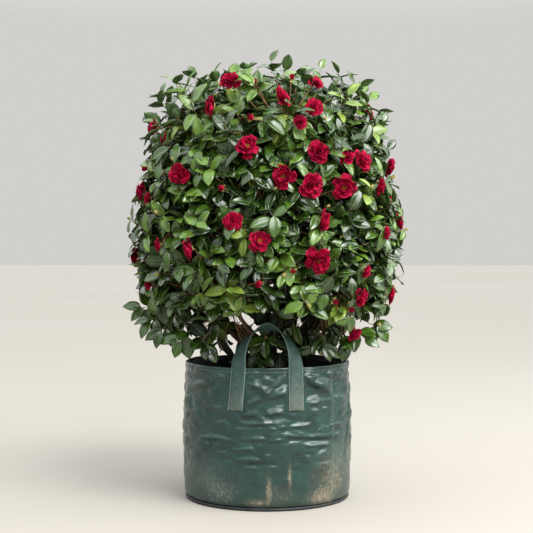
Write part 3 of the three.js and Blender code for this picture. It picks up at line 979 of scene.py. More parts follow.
def scatter_tree() -> NodeTree:
    """Build the tree that sets one of several shapes on each point.

    Returns:
        A tree with inputs Shapes, First, Second and Third; each point has "turn", "size" and "kind", and each
        face of a shape has "finish", which chooses among the three materials.
    """
    finishes = ["First", "Second", "Third"]
    tree, add, given = start_tree("scatter", Collection=["Shapes"], Material=finishes)
    read = {"turn": "FLOAT_VECTOR", "size": "FLOAT", "kind": "INT", "finish": "INT"}
    turn, size, kind, finish = (
        add("InputNamedAttribute", {"Name": name}, data_type=form) for name, form in read.items()
    )
    apart = {"Collection": given["Shapes"], "Separate Children": True, "Reset Children": True}
    placing = {
        "Points": given["Geometry"], "Instance": add("CollectionInfo", apart), "Pick Instance": True,
        "Instance Index": kind, "Rotation": add("EulerToRotation", {0: turn}), "Scale": size,
    }
    shown = add("RealizeInstances", {0: add("InstanceOnPoints", placing)})
    for number, label in enumerate(finishes):
        chosen = add("Compare", {2: finish, 3: number}, data_type="INT", operation="EQUAL")
        shown = add("SetMaterial", {0: shown, "Selection": chosen, "Material": given[label]})
    add("NodeGroupOutput", {0: shown})
    return tree


def whorl_tree() -> NodeTree:
    """Build the tree that packs petals or scales round a heart by the golden angle.

    Returns:
        A tree with inputs Petal, Finish and the sizes of WhorlSizes.
    """
    lengths = ["Outer Length", "Inner Length", "Outer Tilt", "Inner Tilt"]
    lengths += ["Base Radius", "Heart Height", "Ruffle"]
    kinds = {"Object": ["Petal"], "Int": ["Petals", "Seed"], "Float": lengths, "Material": ["Finish"]}
    tree, add, given = start_tree("whorl", **kinds)
    line = add("MeshLine", {"Count": given["Petals"], "Offset": (0, 0, 0)})
    index = add("InputIndex")
    fewer = add("Math", {0: given["Petals"], 1: 1.0}, operation="SUBTRACT")
    share = add("Math", {0: index, 1: fewer}, operation="DIVIDE")
    angle = add("Math", {0: index, 1: GOLDEN_ANGLE}, operation="MULTIPLY")
    span = {"Min": (-1, -1, -1), "Max": (1, 1, 1), "Seed": given["Seed"]}
    wild = add("RandomValue", span, data_type="FLOAT_VECTOR")
    ruffled = add("VectorMath", {0: wild, "Scale": given["Ruffle"]}, operation="SCALE")
    first, second, third = add("SeparateXYZ", {0: ruffled}).outputs
    tilt, length, inward = (
        add("MapRange", {0: share, 3: given[outer], 4: inner})
        for outer, inner in (
            ("Outer Tilt", given["Inner Tilt"]), ("Outer Length", given["Inner Length"]),
            ("Base Radius", 0.0005),
        )
    )
    tilted = add("Math", {0: first, 1: tilt}, operation="SUBTRACT")
    turned = add("Math", {0: second, 1: angle}, operation="ADD")
    rise = add("Math", {0: share, 1: given["Heart Height"]}, operation="MULTIPLY")
    x, y = (
        add("Math", {0: add("Math", {0: turned}, operation=wave), 1: inward}, operation="MULTIPLY")
        for wave in ("COSINE", "SINE")
    )
    base = add("CombineXYZ", {0: x, 1: y, 2: rise})
    facing = add("CombineXYZ", {0: third, 1: tilted, 2: turned})
    petal = add("ObjectInfo", {"Object": given["Petal"], "As Instance": True})
    placing = {
        "Points": add("SetPosition", {0: line, "Offset": base}), "Instance": petal.outputs["Geometry"],
        "Rotation": add("EulerToRotation", {0: facing}), "Scale": length,
    }
    end_tree(add, add("InstanceOnPoints", placing), given["Finish"])
    return tree


def stitch_tree() -> NodeTree:
    """Build the tree that sews along loose edges.

    Returns:
        A tree with inputs Stitch, Pitch and Thread.
    """
    tree, add, given = start_tree("stitches", Object=["Stitch"], Float=["Pitch"], Material=["Thread"])
    lines = add("MeshToCurve", {"Mesh": given["Geometry"]})
    marks = add("ResampleCurve", {"Curve": lines, "Length": given["Pitch"]}, mode="LENGTH")
    along = add("AlignRotationToVector", {"Vector": add("InputTangent")}, axis="X")
    stitch = add("ObjectInfo", {"Object": given["Stitch"], "As Instance": True}).outputs["Geometry"]
    sewn = add("InstanceOnPoints", {"Points": marks, "Instance": stitch, "Rotation": along})
    end_tree(add, sewn, given["Thread"])
    return tree


def chip_tree() -> NodeTree:
    """Build the tree that strews bark chips over the potting mix.

    Returns:
        A tree with inputs Chip, Density, Chip Size, Seed and Finish.
    """
    kinds = {"Object": ["Chip"], "Float": ["Density", "Chip Size"], "Int": ["Seed"], "Material": ["Finish"]}
    tree, add, given = start_tree("chips", **kinds)
    up = add("SeparateXYZ", {0: add("InputNormal")}).outputs[2]
    level = add("Compare", {0: up, 1: 0.6}, data_type="FLOAT", operation="GREATER_THAN")
    seed, full = given["Seed"], given["Chip Size"]
    ground = {"Mesh": given["Geometry"], "Selection": level, "Density": given["Density"], "Seed": seed}
    limits = {"Min": (-0.5, -0.5, 0.0), "Max": (0.5, 0.5, 6.28), "Seed": seed}
    turn = add("RandomValue", limits, data_type="FLOAT_VECTOR")
    small = add("Math", {0: full, 1: 0.45}, operation="MULTIPLY")
    chip = add("ObjectInfo", {"Object": given["Chip"], "As Instance": True}).outputs["Geometry"]
    placing = {
        "Points": add("DistributePointsOnFaces", ground), "Instance": chip,
        "Rotation": add("EulerToRotation", {0: turn}),
        "Scale": add("RandomValue", {2: small, 3: full, "Seed": seed}, data_type="FLOAT"),
    }
    end_tree(add, add("InstanceOnPoints", placing), given["Finish"])
    return tree


# ---- woody parts ----


@dataclass
class Limbs:
    """The trunk and the boughs, with the relief of real bark."""

    plan: CrownPlan
    bark: Material
    trunk_sides: int = 36
    bough_sides: int = 18
    ring_step: float = 0.006
    relief: float = 0.0011
    relief_radius: float = 0.008  # thinner limbs have less relief
    knot: float = 1.55  # how much wider a bough is where it leaves the trunk
    knot_length: float = 0.02
    root_lobes: int = 5
    root_height: float = 0.06
    root_fade: float = 0.018
    lobe_relief: float = 0.006

    def _limb(self, line: Line, width: Callable, sides: int) -> tuple[list[Vector], list[Face]]:
        """Sweep a limb along its line, with the bark's relief.

        Args:
            line: its middle line.
            width: its radius at a share of its length.
            sides: the corners round it.

        Returns:
            Its points and faces.
        """
        rings = max(6, round(line.length / self.ring_step))
        points = []
        side = line.heading(0).orthogonal()
        for i in range(rings + 1):
            share = i / rings
            ahead = line.heading(share)
            side = (side - ahead * side.dot(ahead)).normalized()
            across = ahead.cross(side)
            middle, radius = line.at(share), width(share)
            for k in range(sides):
                turn = 2 * pi * k / sides
                out = side * cos(turn) + across * sin(turn)
                skin = middle + out * radius
                furrow = noise.noise(Vector((turn * 3, 0, share * 9)))
                rough = noise.fractal(skin * 70, 1.0, 2.0, 4) + 0.6 * furrow
                points.append(skin + out * rough * self.relief * min(1.0, radius / self.relief_radius))
        return points, ring_faces(rings + 1, sides)

    def _bough_width(self, length: float, share: float) -> float:
        """Return the radius of a bough of some length at a share of it, wider at its collar."""
        collar = 1 + (self.knot - 1) * exp(-share * length / self.knot_length)
        return blend(self.plan.bough_radius, self.plan.bough_tip_radius, share) * collar

    def build(self) -> Object:
        """Make trunk and boughs as one piece.

        Returns:
            The piece.
        """
        plan = self.plan
        points, faces = self._limb(plan.trunk, plan.trunk_width, self.trunk_sides)
        for i, p in enumerate(points):
            height = p.z - plan.mix_top
            if height < self.root_height:
                turn = atan2(p.y, p.x)
                lobes = 0.5 + 0.5 * cos(self.root_lobes * turn + 0.8)
                points[i] = p + polar(turn) * (self.lobe_relief * lobes * exp(-height / self.root_fade))
        boughs = {f"bough_{mass.name}": mass.bough for mass in plan.masses if mass.bough}
        for bough in boughs.values():
            start = len(points)
            more, more_faces = self._limb(bough, partial(self._bough_width, bough.length), self.bough_sides)
            points += more
            faces += [tuple(start + c for c in face) for face in more_faces]
        return hand_in(mesh_object("limbs", points, faces, [self.bark]), "bark", "trunk", *boughs)


@dataclass
class Twigs:
    """Twigs gathered for one piece, each a line of points with a radius at each."""

    name: str
    sides: int
    points: list[Vector] = field(default_factory=list)
    radii: list[float] = field(default_factory=list)
    edges: list[Face] = field(default_factory=list)

    def add(self, line: Line, steps: int, thick: float, thin: float) -> None:
        """Add one twig.

        Args:
            line: its middle line.
            steps: its number of straight lengths.
            thick: its radius at its foot.
            thin: its radius at its tip.
        """
        start = len(self.points)
        for i in range(steps + 1):
            self.points.append(line.at(i / steps))
            self.radii.append(blend(thick, thin, i / steps))
        self.edges += [(start + i, start + i + 1) for i in range(steps)]

    def build(self, bark: Material, nodes: Sequence[str]) -> Object:
        """Turn the lines into one mesh.

        Args:
            bark: the material.
            nodes: the CAD nodes it stands for.

        Returns:
            The piece.
        """
        lines = mesh_object(self.name, self.points, edges=self.edges)
        set_attribute(lines, "thick", "FLOAT", self.radii)
        return hand_in(grow(lines, twig_tree(), {"Sides": self.sides, "Bark": bark}), "twig", *nodes)


# ---- foliage ----


class Tint(Enum):
    """The leaf colours that are dealt out by spray, each with its finish."""

    # INNER's near-black tones are painted shade: the leaves hidden inside the crown are darkened to stand for
    # the shadow there, and dulled so that they catch little gloss.
    INNER = leaf_finish("leaf_shaded_green", "#080f04", "#101c07", roughness=0.55, coat=0.0, ior=1.3)
    DEEP = leaf_finish("leaf_deep_green", "#172908", "#263d0e")
    GREEN = leaf_finish("leaf_mid_green", "#26400c", "#3d5816")
    FRESH = leaf_finish("leaf_fresh_green", "#3f5b1a", "#5c7927")
    YOUNG = leaf_finish("leaf_young_green", "#546f20", "#788a2f", roughness=0.36, coat=0.2)


INNER, DEEP, GREEN, FRESH, YOUNG = Tint


@dataclass
class LeafShape:
    """One leaf's outline and bend, for a blade of length 1 with its stalk at the origin."""

    fold: float
    curl: float
    wave: float
    half_width: float = 0.278
    rib: float = 0.007
    thick: float = 0.013
    stations: tuple = (  # how far along, and the half width there as a share of the widest
        (0.0, 0.04), (0.08, 0.06), (0.18, 0.62), (0.33, 0.95),
        (0.52, 1.0), (0.72, 0.8), (0.89, 0.37), (1.0, 0.0),
    )

    def build(self, name: str) -> Object:
        """Make the leaf, whose blade, rib and underside are told apart by "finish".

        Args:
            name: its name.

        Returns:
            The leaf, lying along +X with its upper face up.
        """
        points, faces, finish = [], [], []
        for x, share in self.stations:
            half, z = self.half_width * share, 0.16 * x - self.curl * x * x
            rib = min(self.rib, half * 0.4)
            if not share:
                points.append(Vector((x, 0, z)))
                break
            for y in (-half, -half * 0.55, -rib, rib, half * 0.55, half):
                lift = self.fold * abs(y) - 0.35 * self.fold * y * y / self.half_width
                ripple = self.wave * abs(y) * sin(11 * x + (1.3 if y > 0 else 0))
                points.append(Vector((x, y, z + lift + ripple)))
            points.append(Vector((x, 0, z - self.thick)))
        tip = len(points) - 1
        for start in range(0, tip, 7):
            for k, kind in enumerate((0, 0, 1, 0, 0, 2, 2)):
                left, right = start + k, start + (k + 1) % 7
                faces.append((left, left + 7, right + 7, right) if start + 7 < tip else (left, tip, right))
                finish.append(kind)
        made = mesh_object(name, points, [*faces, tuple(range(7))])
        set_attribute(made, "finish", "INT", [*finish, 2], "FACE")
        return made


LEAF_SHAPES = (
    LeafShape(fold=0.34, curl=0.22, wave=0.04),
    LeafShape(fold=0.26, curl=0.36, wave=0.07),
    LeafShape(fold=0.46, curl=0.28, wave=0.05, half_width=0.258),
    LeafShape(fold=0.18, curl=0.16, wave=0.08, half_width=0.298),
)


@dataclass
class Spray:
    """Leaves or flowers gathered for one piece: where each sits, its turn, size and kind."""

    items: list[tuple] = field(default_factory=list)

    def add(self, at: Vector, along: Vector, up: Vector, size: float, kind: int) -> None:
        """Add an item: its root, the ways its +X and its +Z run, its scale and the number of its shape."""
        turned = Matrix((along, up.cross(along), up)).transposed().to_euler()
        self.items.append((at, tuple(turned), size, kind))

    def build(self, name: str, shapes: Collection, *finishes: Material) -> Object:
        """Set the shapes out as one mesh.

        Args:
            name: its name.
            shapes: the shapes, in order of kind.
            *finishes: three materials.

        Returns:
            The piece.
        """
        at, turn, size, kind = zip(*self.items)
        points = mesh_object(name, at)
        set_attribute(points, "turn", "FLOAT_VECTOR", turn)
        set_attribute(points, "size", "FLOAT", size)
        set_attribute(points, "kind", "INT", kind)
        looks = dict(zip(("First", "Second", "Third"), finishes))
        return grow(points, scatter_tree(), {"Shapes": shapes, **looks})


@dataclass(frozen=True)
class Sprig:
    """A twig that the photograph shows by itself: its tip, the way it grows, its leaves and tint."""

    tip: tuple[float, float, float]
    growth: tuple[float, float, float]
    leaves: int
    tint: Tint
    bud: bool = False
    spin: float = 0.0
    fan: tuple = ()  # the ways its leaves point, where they don't follow the spiral
    face: tuple = (0.0, -0.8, 0.55)  # the way its leaves' upper sides look


SPRIGS = (
    Sprig(  # the one that fills the front handle's arch
        (-0.003, -0.176, 0.524), (0.0, -0.85, 0.3), 5, GREEN, True,
        fan=((-1, -0.1, -0.35), (1, -0.1, -0.3), (0.05, -0.25, -1), (-0.6, -0.1, -0.9), (0.5, 0.1, 0.7)),
    ),
    # The INNER sprigs here, low in the handle's arch under the crown, are darkened as painted shade.
    Sprig((0.04, -0.16, 0.47), (0.35, -0.7, -0.2), 4, INNER, spin=0.4),
    Sprig((-0.03, -0.15, 0.462), (-0.2, -0.7, -0.35), 4, DEEP, spin=2.2),
    Sprig((0.075, -0.12, 0.44), (0.6, -0.5, 0.1), 4, INNER),
    Sprig((-0.08, -0.12, 0.45), (-0.6, -0.5, 0.0), 4, INNER),
    Sprig((0.01, -0.1, 0.425), (0.1, -0.8, 0.2), 4, INNER),
    Sprig(  # the crown's lowest tips, at its left and its right
        (-0.398, -0.06, 0.612), (-0.95, -0.25, 0.1), 5, GREEN,
        fan=((-1, -0.1, 0.15), (-0.8, -0.1, -0.7), (-0.3, 0.0, 0.9), (-0.35, -0.1, -1), (0.3, -0.1, -0.9)),
    ),
    Sprig(
        (-0.365, -0.12, 0.578), (-0.8, -0.5, -0.2), 5, GREEN,
        fan=((-0.5, -0.2, -0.9), (-0.9, -0.1, -0.2), (0.1, -0.2, -1), (-0.3, 0.0, 0.8), (0.6, -0.1, -0.8)),
    ),
    Sprig(
        (-0.33, -0.16, 0.548), (-0.5, -0.6, -0.3), 4, DEEP,
        fan=((-0.3, -0.3, -1), (-0.8, -0.2, -0.5), (0.4, -0.2, -0.9), (-0.2, 0.0, 0.9)),
    ),
    Sprig((-0.27, -0.19, 0.52), (-0.3, -0.7, -0.4), 5, GREEN, spin=0.6),
    Sprig((-0.195, -0.215, 0.505), (-0.2, -0.8, -0.4), 4, DEEP, spin=1.4),
    Sprig(
        (0.348, -0.07, 0.558), (0.9, -0.4, 0.2), 4, GREEN, True,
        fan=((0.55, -0.1, -0.85), (-0.1, -0.1, -1), (0.95, -0.1, -0.15), (-0.5, 0.0, 0.8)),
    ),
    Sprig((0.3, -0.17, 0.525), (0.3, -0.7, -0.4), 5, GREEN, spin=2.4),
    Sprig((0.235, -0.205, 0.51), (0.2, -0.8, -0.4), 4, DEEP, spin=0.2),
    Sprig((0.17, -0.225, 0.505), (0.1, -0.8, -0.4), 4, DEEP, spin=1.7),
    *(  # the tips that stand up from the crown's shoulders
        Sprig((x, y, z), (lean, -0.1, rise), leaves, tint, spin=spin, face=())
        for x, y, z, lean, rise, leaves, tint, spin in (
            (-0.33, -0.04, 1.3, -0.35, 0.9, 6, GREEN, 0.3), (-0.29, -0.11, 1.328, -0.2, 0.9, 5, FRESH, 2.1),
            (-0.232, -0.06, 1.352, -0.1, 0.9, 5, GREEN, 1.2), (-0.372, -0.03, 1.205, -0.6, 0.7, 5, DEEP, 0.8),
            (0.275, -0.08, 1.318, 0.2, 0.9, 6, GREEN, 1.9), (0.328, -0.03, 1.275, 0.4, 0.9, 5, FRESH, 0.5),
            (0.228, -0.04, 1.355, 0.1, 0.9, 5, DEEP, 2.8), (0.366, -0.06, 1.2, 0.5, 0.7, 5, GREEN, 1.4),
        )
    ),
)


@dataclass
class Foliage:
    """The twigs and leaves of every mass, grown on from the boughs by the crown's rule."""

    plan: CrownPlan
    blooms: list[BloomPlace]
    bark: Material
    leaf_length: float = 0.071
    stem_tip_radius: float = 0.0032
    shoot_radii: tuple = (0.003, 0.0014)  # at the foot and at the tip
    twig_radii: tuple = (0.0013, 0.0008)
    # Each kind of spray's count, how deep under the outline its tips lie, leaves, and if it is inside.
    # Inside sprays take INNER's painted shade.
    kinds: tuple = ((900, 0.034, 0.086, 5, False), (170, 0.006, 0.028, 5, False), (330, 0.1, 0.165, 4, True))
    tip_jitter: float = 0.016
    lowest_spray: float = -0.97  # the least upward share of the way to its tip
    crest_tips: int = 120
    crest_slope: float = 0.42  # the same for the tips that stand up on top
    crest_lift: float = 0.036
    skirt_tips: int = 22
    skirt_radius: float = 0.36
    skirt_heights: tuple = (0.475, 0.57)
    leaf_gap: float = 0.014
    droop: float = 0.3
    overhang: float = 0.004
    open_height: float = 0.605
    open_share: float = 0.72
    crown_dip: float = 0.056
    bud_chance: float = 0.13
    bloom_clearance: float = 0.031
    bloom_reach: float = 0.07
    bloom_depth: float = 0.014
    seed: int = 77

    def __post_init__(self) -> None:
        """Start with bare boughs."""
        self.dice = random.Random(self.seed)
        self.shoots, self.fine = Twigs("shoots", 6), Twigs("fine_twigs", 4)
        self.sprays = {tint: Spray() for tint in Tint}
        self.bud_tips: list[tuple[Vector, Vector]] = []
        self.shoot_lines: list[list[Line]] = [[] for _ in self.plan.masses]

    def grow(self) -> None:
        """Grow stems, shoots, fine twigs and leaves."""
        plan, dice = self.plan, self.dice
        self._grow_shoots()
        for count, low, high, leaves, hidden in self.kinds:
            for direction in spread(count):
                sunk = self.crown_dip * smooth_step(0.45, 0.9, direction.z)
                tip = plan.outline_point(direction, sunk + dice.uniform(low, high))
                jitter = stray(dice) * self.tip_jitter
                thinned = tip.z < self.open_height and dice.random() < self.open_share
                if direction.z > self.lowest_spray and not thinned:
                    self._fine_twig(tip + jitter, leaves + dice.choice((-1, 0, 0, 1)), hidden)
        for _ in range(self.skirt_tips):
            angle, radius = dice.uniform(0, 2 * pi), self.skirt_radius * sqrt(dice.random())
            self._fine_twig(polar(angle, radius, dice.uniform(*self.skirt_heights)), 4, True)
        for direction in spread(self.crest_tips):
            lift = self.crest_lift * smooth_step(0.6, 0.9, direction.z)
            tip = plan.outline_point(direction, dice.uniform(-0.018, 0.01) + lift)
            growth = Vector((direction.x * 0.5, direction.y * 0.5, 0.9)) + stray(dice, 0.25)
            if direction.z > self.crest_slope:
                tint, spin = self._tint(tip, False), dice.uniform(0, 6.28)
                self._fine_twig(tip, 5, False, Sprig(tuple(tip), tuple(growth), 5, tint, spin=spin, face=()))
        for sprig in SPRIGS:
            self._fine_twig(Vector(sprig.tip), sprig.leaves, False, sprig)

    def _grow_shoots(self) -> None:
        """Grow each mass's stem from its bough, and its main shoots from the stem."""
        plan = self.plan
        stems = []
        for mass in plan.masses:
            carrier = mass.bough or plan.trunk
            tip, ahead = carrier.at(1), carrier.heading(1)
            stems.append(bow(tip - ahead * 0.002, tip + ahead * 0.04, mass.middle))
            thick = plan.bough_tip_radius if mass.bough else plan.trunk_tip_radius
            self.shoots.add(stems[-1], 8, thick, self.stem_tip_radius)
        shoots = plan.shoots()
        shoots += [Shoot(place.at - place.out * 0.012, plan.mass_of(place.at)) for place in self.blooms]
        for order, shoot in enumerate(shoots):
            start = stems[shoot.mass].at(0.35 + 0.65 * ((order * GOLDEN_SHARE) % 1))
            middle = start.lerp(shoot.tip, 0.5)
            outward = Vector((middle.x, middle.y, 0)).normalized()
            line = bow(start, middle + UP * 0.018 + outward * 0.012, shoot.tip)
            self.shoot_lines[shoot.mass].append(line)
            self.shoots.add(line, 7, *self.shoot_radii)

    def _fine_twig(self, tip: Vector, leaves: int, hidden: bool, sprig: Sprig | None = None) -> None:
        """Grow one fine twig from the nearest shoot of its mass, with its leaves.

        Args:
            tip: where it ends.
            leaves: its number of leaves.
            hidden: whether it fills the crown's inside.
            sprig: its own way of growing, if it is one of those listed.
        """
        plan, dice = self.plan, self.dice
        if sprig is None and (plan.near_handle_or_bag(tip) or plan.level(tip) > 1.0):
            return
        lines = self.shoot_lines[plan.mass_of(tip)]
        line = min(lines, key=lambda each: (each.points[-1] - tip).length_squared)
        span = (line.points[-1] - tip).length
        start = line.at(1 - min(0.8, max(0.06, 0.85 * span / line.length)))
        outward = Vector((tip.x, tip.y, (tip.z - plan.middle_height) * 0.8)).normalized()
        rise = blend(-0.15, 0.6, smooth_step(0.5, 0.95, tip.z)) + 0.35 * smooth_step(1.2, 1.36, tip.z)
        growth = outward * 0.75 + UP * rise + stray(dice) * 0.35
        growth = (Vector(sprig.growth) if sprig else growth).normalized()
        reach = (tip - start).length
        if reach < 0.012:
            return
        twig = bow(start, tip - growth * reach * 0.45, tip, 8)
        self.fine.add(twig, 4, *self.twig_radii)
        tint = sprig.tint if sprig else self._tint(tip, hidden)
        spin = sprig.spin if sprig else dice.uniform(0, 2 * pi)
        if sprig and sprig.fan:
            for k, way in enumerate(sprig.fan):
                at = twig.at(1 - min(0.9, 0.6 * k * self.leaf_gap / twig.length))
                size = self.leaf_length * dice.uniform(0.85, 1.0)
                self._set_leaf(at, Vector(way).normalized(), growth, size, tint, sprig.face)
        else:
            self._dress(twig, leaves, spin, tint, growth, sprig)
        if sprig.bud if sprig else not hidden and dice.random() < self.bud_chance:
            self.bud_tips.append((tip, growth))

    def _tint(self, tip: Vector, hidden: bool) -> Tint:
        """Choose a spray's colour: the hidden ones take INNER's painted shade, and the young ones are high up
        and at the outline.

        Args:
            tip: the spray's tip.
            hidden: whether it is inside the crown.

        Returns:
            The colour.
        """
        if hidden:
            return INNER
        height = (tip.z - self.plan.crown_bottom) / (2 * self.plan.half_height)
        limits = ((YOUNG, 0.03 + 0.08 * height), (FRESH, 0.22 + 0.15 * height), (GREEN, 0.68), (DEEP, 1.0))
        chance = self.dice.random()
        return next(tint for tint, limit in limits if chance < limit)

    def _dress(
        self, twig: Line, leaves: int, spin: float, tint: Tint, growth: Vector, sprig: Sprig | None
    ) -> None:
        """Set leaves in a spiral along a twig's end.

        Args:
            twig: the twig.
            leaves: their number.
            spin: the turn of the last one.
            tint: their colour.
            growth: the way the twig's tip points.
            sprig: the twig as listed, whose leaves may pass the outline.
        """
        plan, dice = self.plan, self.dice
        hang = self.droop * (1.35 - 0.8 * (twig.points[-1].z - plan.crown_bottom) / (2 * plan.half_height))
        for k in range(leaves):
            share = 1 - min(0.97, k * self.leaf_gap / twig.length)
            at, ahead = twig.at(share), twig.heading(share)
            side = ahead.orthogonal().normalized()
            side.rotate(Matrix.Rotation(spin + GOLDEN_ANGLE * k, 3, ahead))
            splay = dice.uniform(0.5, 0.8) if k == 0 else dice.uniform(0.85, 1.2)
            along = ahead * cos(splay) + side * sin(splay) - UP * hang * dice.uniform(0.5, 1.5)
            along.normalize()
            size = self.leaf_length * (dice.uniform(0.62, 0.9) if k == 0 else dice.uniform(0.8, 1.14))
            if sprig is None and self._outside(at + along * size):
                along = (along - growth * 0.8).normalized()
                if self._outside(at + along * size):
                    continue
            if not self._hides_bloom(at, at + along * size):
                self._set_leaf(at, along, ahead, size, tint, sprig.face if sprig else ())

    def _set_leaf(
        self, at: Vector, along: Vector, ahead: Vector, size: float, tint: Tint, face: tuple
    ) -> None:
        """Set one leaf so that its upper face looks up, out of the crown and on along the twig.

        Args:
            at: where it joins the twig.
            along: the way its midrib runs.
            ahead: the way the twig runs.
            size: its length.
            tint: its colour.
            face: the way its upper face looks, if given.
        """
        outward = Vector((at.x, at.y, 0)).normalized()
        up = Vector(face) if face else ahead * 0.45 + UP * 0.5 + outward * 0.35
        up += stray(self.dice) * 0.22
        up = (up - along * up.dot(along)).normalized()
        self.sprays[tint].add(at, along, up, size, self.dice.randrange(len(LEAF_SHAPES)))

    def _outside(self, tip: Vector) -> bool:
        """Say whether a leaf's tip would leave the crown or foul the handle or the bag."""
        return self.plan.level(tip, -self.overhang) > 1 or self.plan.near_handle_or_bag(tip)

    def _hides_bloom(self, root: Vector, tip: Vector) -> bool:
        """Say whether a leaf would stand in front of a bloom or in it.

        Args:
            root: the leaf's root.
            tip: its tip.

        Returns:
            Whether it would.
        """
        for place in self.blooms:
            for p in (root.lerp(tip, 0.55), tip):
                away = p - place.at
                depth = away.dot(place.out)
                near = away.length_squared <= self.bloom_reach**2 and depth > -self.bloom_depth
                if near and (away - place.out * depth).length < self.bloom_clearance * place.size:
                    return True
        return False

    def build(self) -> list[Object]:
        """Turn what has grown into twigs, and leaves in five tints.

        Returns:
            The pieces.
        """
        nodes = self.plan.foliage_nodes
        pieces = [twigs.build(self.bark, nodes) for twigs in (self.shoots, self.fine)]
        rib, back = RIB_FINISH.build(), UNDERSIDE_FINISH.build()
        shelf = shelve("leaf_shapes", [shape.build(f"leaf_{i}") for i, shape in enumerate(LEAF_SHAPES)])
        for tint, spray in self.sprays.items():
            piece = spray.build(f"leaves_{tint.name.lower()}", shelf, tint.value.build(), rib, back)
            pieces.append(hand_in(piece, "leaf_young" if tint is YOUNG else "leaf", *nodes))
        bpy.data.batch_remove([*shelf.objects, shelf])
        return pieces


# ---- blooms and buds ----


@dataclass
class PetalShape:
    """One petal or bud scale of length 1, cupped towards its +Z side."""

    name: str
    cup: float
    bend: float
    wave: float
    half_width: float = 0.5
    thick: float = 0.02
    rows: tuple = ((0.0, 0.22), (0.28, 0.62), (0.58, 0.96), (0.84, 0.9), (1.0, 0.42))
    columns: int = 4

    def build(self) -> Object:
        """Make the petal as a thin closed body.

        Returns:
            The petal, lying along +X with its inner face up.
        """
        inner, count = [], self.columns + 1
        for x, share in self.rows:
            for k in range(count):
                y = self.half_width * share * (2 * k / self.columns - 1)
                notch = -0.05 * exp(-((y / 0.12) ** 2)) if x == 1.0 else 0.0
                z = self.cup * y * y + self.bend * x * x + self.wave * x * sin(7 * y + 5 * x)
                inner.append(Vector((x + notch, y, z)))
        shift, faces = len(inner), []
        last = shift - count
        for start in range(0, last, count):
            for a in range(start, start + self.columns):
                face = (a, a + count, a + count + 1, a + 1)
                faces += [face, tuple(shift + c for c in reversed(face))]
        border = [*range(0, last, count), *range(last, last + self.columns)]
        border += [*range(last + self.columns, self.columns, -count), *range(self.columns, 0, -1)]
        faces += [(b, a, a + shift, b + shift) for a, b in zip(border, border[1:] + border[:1])]
        return mesh_object(self.name, inner + [p - UP * self.thick for p in inner], faces)


@dataclass(frozen=True)
class WhorlSizes:
    """How one kind of flower or bud is packed, in metres and radians."""

    petals: int
    outer_length: float
    inner_length: float
    outer_tilt: float
    inner_tilt: float
    base_radius: float
    heart_height: float
    ruffle: float
    seed: int

    def build(self, name: str, petal: Object, finish: Material) -> Object:
        """Pack petals of one material into a named flower that faces +Z."""
        values = {one.name.replace("_", " ").title(): getattr(self, one.name) for one in fields(self)}
        return grow(mesh_object(name, [Vector()]), whorl_tree(), {**values, "Petal": petal, "Finish": finish})


WHORLS = {
    FORMAL: WhorlSizes(42, 0.038, 0.011, 0.16, 1.3, 0.005, 0.009, 0.07, 3),
    FULL: WhorlSizes(28, 0.041, 0.021, 0.1, 1.22, 0.0065, 0.01, 0.38, 8),
    LOOSE: WhorlSizes(18, 0.041, 0.026, 0.14, 1.00, 0.0065, 0.006, 0.26, 12),
    OPENING: WhorlSizes(14, 0.026, 0.02, 1.02, 1.48, 0.007, 0.006, 0.1, 4),
    "bud": WhorlSizes(8, 0.012, 0.0135, 1.12, 1.42, 0.0048, 0.003, 0.05, 6),
    "sepals": WhorlSizes(6, 0.013, 0.012, -0.15, 0.75, 0.005, 0.001, 0.1, 9),
}


